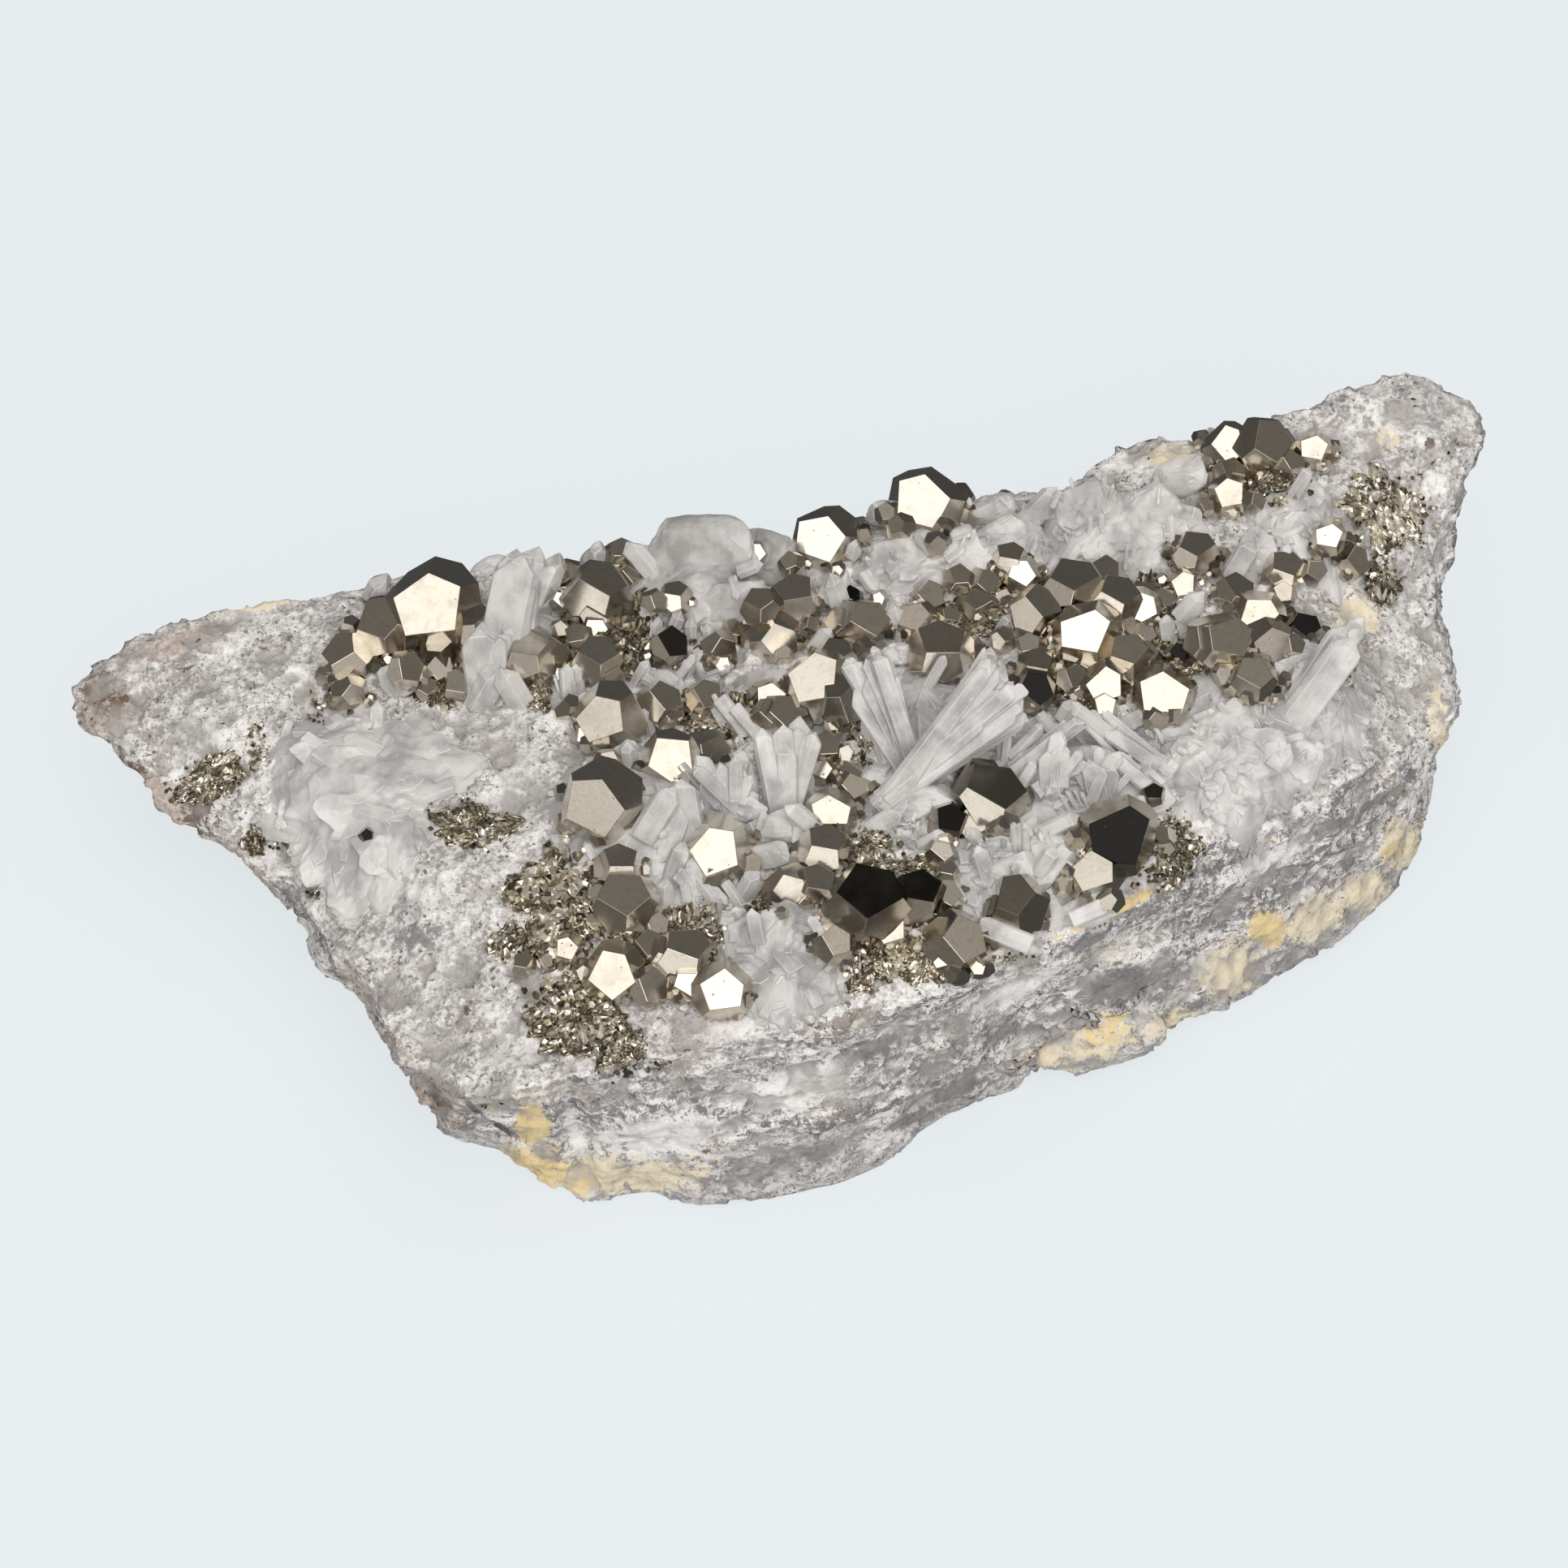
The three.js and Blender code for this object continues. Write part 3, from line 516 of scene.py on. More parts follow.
    def _specks(self, bench: Bench, place: Value, colour: Value) -> Value:
        """Small dark flakes, gathered in clusters, thin cracks and brown specks.

        Args:
            bench: the node tree in the making.
            place: the place on the slab.
            colour: the rock's colour.

        Returns:
            The colour with the specks.
        """
        clusters = bench.noise(place, 4.0, 3, 0.6).between(0.40, 0.58)
        flakes = bench.noise(bench.place((0.8, 0.8, 1.4)), 0.5, 2, 0.5).between(0.595, 0.645)
        colour = bench.mix(flakes * clusters * 0.8, colour, self.dark)
        cracks = bench.noise(self._drawn_out(bench, 0.5, 1.2), 1.6, 5, 0.7, 0.6)
        thin = (1 - cracks.between(0.5, 0.512)) * cracks.between(0.488, 0.5) * clusters
        colour = bench.mix(thin * 0.55, colour, self.umber)
        brown = bench.noise(place, 0.9, 3, 0.6).between(0.66, 0.72)
        return bench.mix(brown * 0.4, colour, self.umber)


@dataclass(frozen=True)
class QuartzFinish(Finish):
    """Quartz from clear to milky, with white veils and fine lines along its growth, and a painted highlight on its
    broken edges.
    """

    name: str = "quartz"
    milky: Numbers = (0.89, 0.872, 0.852)
    smoky: Numbers = (0.76, 0.745, 0.735)
    line: Numbers = (0.62, 0.605, 0.595)
    streak_and_highlight: Numbers = (0.99, 0.985, 0.98)
    grain: Numbers = (0.42, 0.405, 0.40)
    clear: Numbers = (0.95, 0.95, 0.945)
    clear_share: float = 0.5
    clear_from: float = 0.42
    clear_to: float = 0.62
    frost: float = 0.32
    through: float = 0.36
    relief: float = 0.05
    index: float = 1.54
    growth: Numbers = (1.0, 1.0, 0.08)
    white_lines: float = 0.55
    grey_lines: float = 0.25
    painted_lip_highlight: float = 0.6

    def _dress(self, bench: Bench) -> Value:
        """A clear shader and a milky one, mixed by soft clouds and veils.

        Args:
            bench: the node tree in the making.

        Returns:
            The shader.
        """
        place = bench.place()
        grown = bench.node("ShaderNodeAttribute", {"attribute_name": "grown"})["Vector"]
        along = bench.node("ShaderNodeMapping", {}, {"Vector": grown, "Scale": self.growth})[0]
        veil = bench.noise(along, 0.7, 3, 0.55, 0.2)
        clouds = bench.noise(place, 4.5, 2, 0.5, 0.4)
        fine = bench.noise(place, 0.5, 4, 0.7)
        share = clouds * 0.75 + veil * 0.1 + fine * 0.15
        tint = bench.mix(share.between(0.40, 0.62), self.milky, self.smoky)
        tint = bench.mix(veil.between(0.60, 0.74) * 0.2, tint, self.streak_and_highlight)
        lines = bench.noise(along, 0.22, 2, 0.5)
        tint = bench.mix(lines.between(0.57, 0.63) * self.white_lines, tint, self.streak_and_highlight)
        tint = bench.mix(lines.between(0.42, 0.35) * self.grey_lines, tint, self.line)
        tint = bench.mix(fine.between(0.54, 0.7) * 0.25, tint, self.streak_and_highlight)
        # painted highlight: the broken edges are whitened in cloudy patches and kept milky rather than clear
        lip = bench.attribute("lip") * clouds.between(0.42, 0.58) * self.painted_lip_highlight
        tint = bench.mix(lip, tint, self.streak_and_highlight)
        rim = bench.attribute("rim").between(0.5, 0.95)
        tint = bench.mix(rim * fine.between(0.56, 0.42), tint, self.grain)
        relief = bench.bump(bench.noise(place, 0.7, 3, 0.6) + fine * (0.3 + rim), self.relief)
        others = {"Normal": relief, "IOR": self.index}
        milk = bench.surface(tint, self.frost, {**others, "Transmission Weight": self.through})
        glass = bench.surface(self.clear, self.frost * 0.4, {**others, "Transmission Weight": 1.0})
        clearness = share.between(self.clear_from, self.clear_to) * self.clear_share * (1 - lip)
        return bench.node("ShaderNodeMixShader", {}, [clearness, milk, glass])[0]


@dataclass(frozen=True)
class PyriteFinish(Finish):
    """Pyrite: pale brassy metal with fine growth lines, pits and a light tarnish, and a painted dark reflection on the
    faces that the mesh marks dark.
    """

    name: str = "pyrite"
    metal: Numbers = (0.80, 0.75, 0.67)
    tarnish: Numbers = (0.50, 0.445, 0.365)
    black: Numbers = (0.016, 0.015, 0.014)
    pit: Numbers = (0.12, 0.09, 0.06)
    gloss: float = 0.13
    line_stretch: Numbers = (1.0, 9.0, 1.0)
    line_depth: float = 0.012
    grain_depth: float = 0.004

    def _dress(self, bench: Bench) -> Value:
        """Metal with lines along each face's own map.

        Args:
            bench: the node tree in the making.

        Returns:
            The shader.
        """
        place = bench.place()
        tone = bench.attribute("tone")
        dark = bench.attribute("dark")
        across = bench.node("ShaderNodeUVMap", {"uv_map": "faces"})[0]
        lined = bench.node("ShaderNodeMapping", {}, {"Vector": across, "Scale": self.line_stretch})[0]
        lines = bench.noise(lined, 1.2, 4, 0.6)
        clouds = bench.noise(place, 2.5, 4, 0.6)
        pits = bench.cells(place, 0.9)["Distance"].between(0.16, 0.06) * clouds.between(0.5, 0.62)
        spots = bench.noise(place, 0.8, 4, 0.65).between(0.5, 0.66)
        colour = bench.mix(clouds.between(0.4, 0.7) * 0.15 + spots * 0.2 + tone * 0.5, self.metal, self.tarnish)
        # painted dark reflection: faces that the mesh marks dark turn nearly black
        colour = bench.mix(dark * (0.95 + clouds * 0.2), colour, self.black)
        colour = bench.mix(pits * 0.7, colour, self.pit)
        rough = self.gloss + clouds.between(0.45, 0.75) * 0.12 + tone * 0.1 + pits * 0.3
        relief = bench.bump(lines * tone.between(0.3, 0.9) - pits * 1.5, self.line_depth)
        relief = bench.bump(bench.noise(place, 0.35, 2, 0.5), self.grain_depth, relief)
        return bench.surface(colour, rough, {"Metallic": 1.0, "Normal": relief})


@dataclass(frozen=True)
class GrainFinish(Finish):
    """Granular pyrite: bright flakes among olive and nearly black ones."""

    name: str = "pyrite_grains"
    bright: Numbers = (0.95, 0.89, 0.77)
    olive: Numbers = (0.40, 0.345, 0.235)
    black: Numbers = (0.05, 0.045, 0.04)
    metallic: float = 0.85
    relief: float = 0.02

    def _dress(self, bench: Bench) -> Value:
        """A tone for each grain, which the mesh carries.

        Args:
            bench: the node tree in the making.

        Returns:
            The shader.
        """
        place = bench.place()
        tone = bench.attribute("tone")
        dull = bench.noise(place, 0.5, 3, 0.6)
        colour = bench.ramp(tone, (0.0, self.black), (0.35, self.olive), (0.6, self.bright), (1.0, self.bright))
        rough = 0.2 + dull.between(0.4, 0.7) * 0.25
        return bench.surface(colour, rough, {"Metallic": self.metallic, "Normal": bench.bump(dull, self.relief)})


def cut_by_planes(room: float, planes: Iterable[tuple[Vector, float]]) -> Mesh:
    """A convex crystal inside a set of planes.

    Args:
        room: side of the cube that it is cut from.
        planes: the outward direction and the distance of each face.

    Returns:
        The crystal, around the origin.
    """
    crystal = bmesh.new()
    bmesh.ops.create_cube(crystal, size=room)
    for direction, distance in planes:
        everything = crystal.verts[:] + crystal.edges[:] + crystal.faces[:]
        cut = bmesh.ops.bisect_plane(
            crystal, geom=everything, dist=NOTHING, plane_co=direction * distance, plane_no=direction, clear_outer=True
        )
        rim = [part for part in cut["geom_cut"] if isinstance(part, bmesh.types.BMEdge)]
        if rim:
            bmesh.ops.edgeloop_fill(crystal, edges=rim)
    bmesh.ops.recalc_face_normals(crystal, faces=crystal.faces[:])
    return crystal


def pyritohedron(
    reach: float, dice: random.Random, spread: float, reach_share: float, front_share: float = 1.0
) -> Mesh:
    """A crystal with twelve five-sided faces, its first face along +Z and its point along +X.

    Args:
        reach: distance of the corners from the middle.
        dice: the source of its irregularity.
        spread: irregularity of the distances of its faces.
        reach_share: distance of the faces against that of the corners.
        front_share: distance of the front face against that of the others.

    Returns:
        The crystal.
    """
    front = Vector((1, 0, 2)).normalized()
    point = Vector((2, 0, -1)).normalized()
    aside = front.cross(point)
    planes = []
    for first in (-1, 1):
        for second in (-2, 2):
            for place in ((first, 0, second), (second, first, 0), (0, second, first)):
                normal = Vector(place).normalized()
                direction = Vector((normal.dot(point), normal.dot(aside), normal.dot(front)))
                share = 1 + spread * (2 * dice.random() - 1)
                if direction.z > 0.99:
                    share = front_share
                planes.append((direction, reach * reach_share * share))
    return cut_by_planes(reach * 4, planes)


END_SLOPE = 51.8  # degrees between a quartz prism's length and the line square to a face of its point
TABLET = 0.65  # a flatter prism than this is turned so that it has two broad sides
SIDE_SPREAD = (0.88, 1.12)
END_SPREAD = (0.9, 1.1)
SMALL_END = 1.12  # how much further out every second face of the point lies


def quartz_prism(length: float, width: float, flatness: float, dice: random.Random) -> Mesh:
    """A six-sided prism with a point, along +Z.

    Args:
        length: its whole length.
        width: across its sides.
        flatness: its thickness against its width.
        dice: the source of its irregularity.

    Returns:
        The crystal.
    """
    slope = math.radians(END_SLOPE)
    planes = [(Vector((0, 0, -1)), length / 2)]
    turned = math.pi / 6 if flatness < TABLET else 0.0
    for side in range(6):
        angle = side * math.pi / 3 + turned
        outward = Vector((math.cos(angle), math.sin(angle), 0))
        thin = 1 + (flatness - 1) * outward.y ** 2
        planes.append((outward, width / 2 * thin * dice.uniform(*SIDE_SPREAD)))
        end = outward * math.sin(slope) + Vector((0, 0, math.cos(slope)))
        out = 1.0 if side % 2 == 0 else SMALL_END
        planes.append((end, length / 2 * math.cos(slope) * out * dice.uniform(*END_SPREAD)))
    crystal = cut_by_planes(length * 3, planes)
    grown = crystal.verts.layers.float_vector.new("grown")
    start = Vector((dice.uniform(0, 99), dice.uniform(0, 99), dice.uniform(0, 99)))
    for vert in crystal.verts:
        vert[grown] = vert.co / MM + start
    return crystal


def break_edges(crystal: Mesh, width: float) -> list[bmesh.types.BMFace]:
    """Breaks every edge of a crystal.

    Args:
        crystal: the crystal.
        width: how wide the flats are.

    Returns:
        The faces of the flats.
    """
    made = bmesh.ops.bevel(
        crystal, geom=crystal.edges[:], offset=width, segments=1, affect="EDGES", profile=0.5, material=-1
    )
    return made["faces"]


def finished(name: str, mesh: Mesh, material: Material) -> bpy.types.Object:
    """Makes a piece of the specimen from its mesh.

    Args:
        name: the piece's name.
        mesh: its mesh in the frame, which is used up.
        material: what it is made of.

    Returns:
        The piece, which rides on the specimen.
    """
    data = bpy.data.meshes.new(name)
    mesh.to_mesh(data)
    mesh.free()
    data.materials.append(material)
    piece = bpy.data.objects.new(name, data)
    bpy.context.scene.collection.objects.link(piece)
    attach(piece, BODY)
    log.info("%s: %d faces", name, len(data.polygons))
    return piece


class Assembly:
    """Many small crystals gathered in one mesh."""

    def __init__(self) -> None:
        """Starts empty."""
        self.mesh = bmesh.new()
        self.mesh.faces.layers.float.new("tone")

    def add(self, crystal: Mesh, place: Matrix, tone: float | None = None) -> None:
        """Adds a crystal.

        Args:
            crystal: the crystal, which stays as it is.
            place: where it goes.
            tone: a number that its faces carry, or none to keep their own.
        """
        copy = crystal.copy()
        bmesh.ops.transform(copy, matrix=place, verts=copy.verts[:])
        if tone is not None:
            layer = copy.faces.layers.float.get("tone") or copy.faces.layers.float.new("tone")
            for face in copy.faces:
                face[layer] = tone
        data = bpy.data.meshes.new("part")
        copy.to_mesh(data)
        copy.free()
        self.mesh.from_mesh(data)
        bpy.data.meshes.remove(data)


class Ground:
    """What crystals grow on: finds where a line of sight meets it and how high it is.

    Heights are looked up from above. A crystal's height is found in rounds, and no more than most_drop lower than
    its place in the picture, for which the ground has to face upward or is sought step by step further down.
    """

    most_drop = 2.5 * MM
    above = 1.0
    rounds = 20
    upward = 0.3
    down_steps = 40
    down_step = 5
    usual_height = 20 * MM

    def __init__(self, *layers: "Ground") -> None:
        """Starts with what other grounds have."""
        self.trees: list[BVHTree] = [tree for layer in layers for tree in layer.trees]

    def cover(self, mesh: Mesh) -> None:
        """Adds a surface that later crystals grow on."""
        self.trees.append(BVHTree.FromBMesh(mesh))

    def meets(self, origin: Vector, direction: Vector) -> tuple[Vector, Vector] | None:
        """Where a line first meets the ground.

        Args:
            origin: a place on the line.
            direction: where it goes from there.

        Returns:
            The place and the ground's normal, or none.
        """
        best = None
        for tree in self.trees:
            spot, normal, _, distance = tree.ray_cast(origin, direction)
            if spot is not None and (best is None or distance < best[2]):
                best = (spot, normal, distance)
        return None if best is None else (best[0], best[1])

    def seen(self, right: float, down: float) -> tuple[Vector, Vector] | None:
        """The place and normal of the ground behind a point of the picture."""
        return self.meets(VIEW.eye, VIEW.ray(right, down))

    def height(self, x: float, y: float) -> float:
        """How high the ground is at a place in plan."""
        met = self.meets(Vector((x, y, self.above)), Vector((0, 0, -1)))
        return 0.0 if met is None else met[0].z

    def raised(self, right: float, down: float, rise: float) -> Vector:
        """The place behind a point of the picture that is a given height above the ground.

        Args:
            right: dots from the picture's left edge.
            down: dots from its top edge.
            rise: the height above the ground.

        Returns:
            The place.
        """
        base = self._top_below(right, down)
        ray = VIEW.ray(right, down)
        level = base
        spot = Vector()
        for _ in range(self.rounds):
            spot = VIEW.eye + ray * ((level - VIEW.eye.z) / ray.z)
            ground = max(self.height(spot.x, spot.y), base - self.most_drop)
            level = (level + ground + rise) / 2
        return spot

    def _top_below(self, right: float, down: float) -> float:
        """How high the ground's upper side is at a point of the picture, or at the first one under it.

        Args:
            right: dots from the picture's left edge.
            down: dots from the top edge.

        Returns:
            The height.
        """
        for step in range(self.down_steps):
            met = self.seen(right, down + step * self.down_step)
            if met is not None and met[1].z > self.upward:
                return met[0].z
        return self.usual_height


def oval_shares(dots: np.ndarray, oval: Numbers) -> tuple[np.ndarray, np.ndarray]:
    """Where points of the picture are against an oval.

    Args:
        dots: the points, one a row.
        oval: its middle, its half sizes in dots, and its turn in degrees.

    Returns:
        Their distances from its middle along its two axes, in shares of its half sizes.
    """
    right, down, across, along, turn = oval
    angle = math.radians(turn)
    aside, below = dots[:, 0] - right, down - dots[:, 1]
    first = (aside * math.cos(angle) + below * math.sin(angle)) / across
    return first, (below * math.cos(angle) - aside * math.sin(angle)) / along


def oval_spot(oval: Numbers, first: float, second: float) -> tuple[float, float]:
    """A point of the picture by its place in an oval.

    Args:
        oval: its middle, its half sizes in dots, and its turn in degrees.
        first: the share of its half size along its first axis.
        second: the share along the second one.

    Returns:
        The dots to the right and the dots down.
    """
    right, down, across, along, turn = oval
    angle, first, second = math.radians(turn), first * across, second * along
    return (
        right + first * math.cos(angle) - second * math.sin(angle),
        down - first * math.sin(angle) - second * math.cos(angle),
    )


def broken_grain(place: Vector, size: float) -> float:
    """Relief of a broken grainy surface: every grain ends in a flat break of its own slope.

    Args:
        place: a place in millimetres.
        size: the grains' size in millimetres.

    Returns:
        The relief, from about -1 to 1.
    """
    centre = noise.voronoi(place / size)[1][0]
    turn = noise.cell_vector(centre * 7.31)
    tip = Vector((turn.x - 0.5, turn.y - 0.5, turn.z - 0.5)) * 2
    offset = place / size - centre
    return offset.dot(tip) * 1.3 + (noise.cell(centre * 3.7) - 0.5) * 0.6


def random_way(dice: random.Random) -> Vector:
    """A vector in any direction, about 1 long."""
    return Vector((dice.gauss(0, 1), dice.gauss(0, 1), dice.gauss(0, 1)))


def cloud(place: Vector) -> float:
    """Cloudy noise that is alike on every crust and mass."""
    return noise.fractal(place, 0.8, 2, 3)


def clamp(value: float) -> float:
    """The value, kept between 0 and 1."""
    return max(0.0, min(1.0, value))


@dataclass
class GraniteSlab:
    """The slab of granite, with a broken, grainy surface over the plain solid.

    Reliefs, sizes and lengths are in millimetres, and the fit is in dots and degrees. A face whose normal is
    shown or more towards the eye has its edges cut until none is over the longest, or twice that before the fit.
    """

    stains: dict[str, Rows]
    outline: Rows
    forms: Rows
    node: str = "rock_matrix"
    first_cuts: int = 3
    smoothing: int = 6
    fine_rounds: int = 4
    fit_round: int = 1
    longest: float = 0.74
    shown: float = 0.02
    broad_relief: float = 0.45
    broad_size: float = 8
    grain_relief: float = 0.42
    grain_size: float = 3.4
    small_relief: float = 0.2
    small_size: float = 1.35
    grit_relief: float = 0.07
    grit_size: float = 0.7
    ledge_relief: float = 0.55
    layer: float = 3.1
    layer_wave: float = 2.6
    base: float = 0.8
    middle: tuple[float, float] = (966, 960)
    fit_rounds: int = 3
    fit_step: float = 1.5
    fit_fade: float = 5.0

    def build(self, ground: Ground) -> None:
        """Makes the slab.

        Args:
            ground: gets the slab's surface, for what grows on it.
        """
        mesh = bmesh.new()
        mesh.from_mesh(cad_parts[self.node].data)
        bmesh.ops.remove_doubles(mesh, verts=mesh.verts[:], dist=0.002 * MM)
        bmesh.ops.subdivide_edges(mesh, edges=mesh.edges[:], cuts=self.first_cuts, use_grid_fill=True)
        free = [vert for vert in mesh.verts if vert.co.z > 0.05 * MM]
        axes = {"use_axis_x": True, "use_axis_y": True, "use_axis_z": True}
        for factor in (0.5, -0.52) * self.smoothing:
            bmesh.ops.smooth_vert(mesh, verts=free, factor=factor, **axes)
        for fine in range(self.fine_rounds):
            if fine == self.fit_round:
                self._fit_outline(mesh)
                self._form(mesh)
                ground.cover(mesh)
            mesh.normal_update()
            longest = self.longest * (2 if fine < self.fit_round else 1) * MM
            shown = {face for face in mesh.faces if face.normal.dot(VIEW.back) > self.shown}
            edges = [edge for edge in mesh.edges if edge.calc_length() > longest and shown & {*edge.link_faces}]
            bmesh.ops.subdivide_edges(mesh, edges=edges, cuts=1, use_grid_fill=True)
            bmesh.ops.triangulate(mesh, faces=[face for face in mesh.faces if len(face.verts) > 3])
        self._carve(mesh)
        self._stain(mesh)
        piece = finished("granite_slab", mesh, GraniteFinish().material())
        piece.data.polygons.foreach_set("use_smooth", [True] * len(piece.data.polygons))
        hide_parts(self.node)

    def _fit_outline(self, mesh: Mesh) -> None:
        """Moves the broken rim in plan until the slab's outline is that of the picture.

        Args:
            mesh: the slab.
        """
        middle = np.array(self.middle)
        for _ in range(self.fit_rounds):
            dots = VIEW.project(np.array([vert.co[:] for vert in mesh.verts])) - middle
            angles = np.degrees(np.arctan2(dots[:, 1], dots[:, 0])) % 360
            reach = np.hypot(dots[:, 0], dots[:, 1])
            bins = (angles / self.fit_step).astype(int)
            counts = round(360 / self.fit_step)
            edge = np.array([reach[bins == part].max(initial=1) for part in range(counts)])
            wanted = np.array([self._outline_reach((part + 0.5) * self.fit_step) for part in range(counts)])
            lack = wanted - edge
            lack = (np.roll(lack, 1) + 2 * lack + np.roll(lack, -1)) / 4
            places = angles / self.fit_step - 0.5
            move, rim = (
                np.interp(places, np.arange(-1, counts + 1), np.concatenate([ring[-1:], ring, ring[:1]]))
                for ring in (lack, edge)
            )
            move *= np.clip(reach / rim, 0, 1) ** self.fit_fade * VIEW.dot
            aside = move * dots[:, 0] / reach
            back = -move * dots[:, 1] / reach / math.sin(math.radians(VIEW.tilt))
            for vert, first, second in zip(mesh.verts, aside, back):
                vert.co.x += first
                vert.co.y += second

    def _form(self, mesh: Mesh) -> None:
        """Raises knobs and sinks hollows of the rock at points of the picture.

        Args:
            mesh: the slab.
        """
        mesh.normal_update()
        normals = np.array([vert.normal[:] for vert in mesh.verts])
        places = np.array([vert.co[:] for vert in mesh.verts])
        dots = VIEW.project(places)
        shown = normals @ np.array(VIEW.back) > -0.2
        move = np.zeros(len(places))
        for *oval, height in self.forms:
            first, second = oval_shares(dots, oval)
            share = np.clip(1 - (first ** 2 + second ** 2), 0, 1) ** 0.8
            move += share * shown * height * MM * np.clip(places[:, 2] / MM, 0, 1)
        for vert, normal, step in zip(mesh.verts, normals, move):
            vert.co += Vector(normal) * step

    def _outline_reach(self, angle: float) -> float:
        """How far the picture's outline of the rock is from its middle.

        Args:
            angle: the direction in the picture, in degrees from the right towards the bottom.

        Returns:
            The distance in dots.
        """
        way = Vector((math.cos(math.radians(angle)), math.sin(math.radians(angle))))
        corners = [Vector(corner) - Vector(self.middle) for corner in self.outline]
        for first, second in zip(corners, corners[1:] + corners[:1]):
            side = second - first
            across = way.x * side.y - way.y * side.x
            if abs(across) < NOTHING:
                continue
            reach = (first.x * side.y - first.y * side.x) / across
            share = (first.x * way.y - first.y * way.x) / across
            if reach > 0 and 0 <= share <= 1:
                return reach
        return 1.0

    def _carve(self, mesh: Mesh) -> None:
        """Moves the surface in and out: lumps, grains, and ledges on the sides.

        Args:
            mesh: the slab, which gets the depth of its hollows and the steepness of its sides.
        """
        mesh.normal_update()
        depth = mesh.verts.layers.float.new("depth")
        steep = mesh.verts.layers.float.new("steep")
        moves = []
        for vert in mesh.verts:
            spot = vert.co / MM
            side = clamp((1 - abs(vert.normal.z) - 0.25) / 0.4)
            lumps = noise.fractal(spot / self.broad_size, 0.9, 2.1, 3) * self.broad_relief
            grains = broken_grain(spot, self.grain_size) * self.grain_relief
            small = broken_grain(spot + Vector((31, 7, 3)), self.small_size) * self.small_relief
            grit = noise.noise(spot / self.grit_size) * self.grit_relief
            wave = noise.fractal(Vector((spot.x / 12, spot.y / 12, spot.z / 30)), 0.9, 2, 3) * self.layer_wave
            level = (spot.z + wave) / self.layer
            torn = 0.5 + noise.noise(spot / 4)
            ledge = ((level % 1.0) ** 1.5 - 0.4) * self.ledge_relief * side * torn
            move = lumps + grains + small + grit + ledge
            # the relief's depth, which the finish uses to paint shade into the hollows
            vert[depth] = clamp(0.5 + move / 2.2)
            vert[steep] = side
            moves.append(vert.normal * (move * clamp(spot.z / self.base) * MM))
        for vert, move in zip(mesh.verts, moves):
            vert.co += move
            vert.co.z = max(vert.co.z, 0.0)

    def _stain(self, mesh: Mesh) -> None:
        """Gives the mesh the numbers that its stains are coloured by.

        Args:
            mesh: the slab.
        """
        dots = VIEW.project(np.array([vert.co[:] for vert in mesh.verts]))
        shown = np.array([vert.normal.dot(VIEW.back) for vert in mesh.verts]) > -0.1
        for kind, rows in self.stains.items():
            amounts = np.zeros(len(dots))
            for *oval, strength in rows:
                first, second = oval_shares(dots, oval)
                amounts = np.maximum(amounts, np.clip(1.3 - np.hypot(first, second), 0, 1) * strength * shown)
            layer = mesh.verts.layers.float.new(kind)
            for vert, amount in zip(mesh.verts, amounts):
                vert[layer] = float(amount)


# Outline of the rock in the picture, clockwise from the left tip
OUTLINE = (
    (97, 880), (102, 845), (135, 808), (220, 775), (330, 740), (440, 725), (500, 712), (560, 705), (640, 700),
    (700, 694), (770, 688), (850, 678), (950, 674), (1050, 662), (1100, 630), (1190, 612), (1230, 605), (1300, 600),
    (1340, 572), (1400, 535), (1430, 530), (1480, 537), (1520, 520), (1600, 500), (1660, 470), (1740, 446),
    (1765, 460), (1800, 480), (1835, 515), (1828, 560), (1810, 620), (1795, 680), (1775, 730), (1780, 780),
    (1795, 820), (1790, 860), (1770, 940), (1760, 1000), (1745, 1050), (1720, 1105), (1650, 1170), (1520, 1240),
    (1450, 1260), (1420, 1300), (1340, 1325), (1270, 1322), (1250, 1340), (1170, 1370), (1080, 1440), (1020, 1462),
    (950, 1475), (860, 1486), (795, 1470), (730, 1485), (640, 1440), (610, 1415), (550, 1400), (500, 1330),
    (440, 1230), (390, 1195), (380, 1150), (290, 1060), (200, 1000), (150, 940), (120, 910),
)

# Forms of the rock: middle in the picture, half sizes in dots, turn, and millimetres that it rises or sinks
FORMS = (
    (128, 868, 40, 34, 20, 1.6), (310, 742, 60, 22, 14, 0.8), (205, 806, 130, 40, 20, 1.9),
    (205, 1010, 34, 22, -45, 0.8), (712, 1405, 22, 78, 12, -1.6), (640, 1350, 46, 50, 0, 0.9),
    (820, 1400, 70, 60, 10, 0.9), (1350, 1285, 92, 34, 20, 0.7), (1310, 1222, 90, 16, 24, -0.6),
    (1180, 1300, 60, 30, 20, 0.8), (1080, 1240, 70, 16, 26, -0.7), (1045, 1360, 70, 34, 24, 0.7),
    (1420, 1150, 90, 14, 27, -0.9), (1560, 1120, 70, 34, 26, 0.9), (1560, 1010, 90, 12, 30, -0.8),
    (1690, 960, 60, 10, 40, -0.9), (1700, 1040, 36, 40, 30, 0.7), (1640, 930, 10, 34, -20, -0.8),
    (1780, 880, 18, 80, 8, 0.8),
)

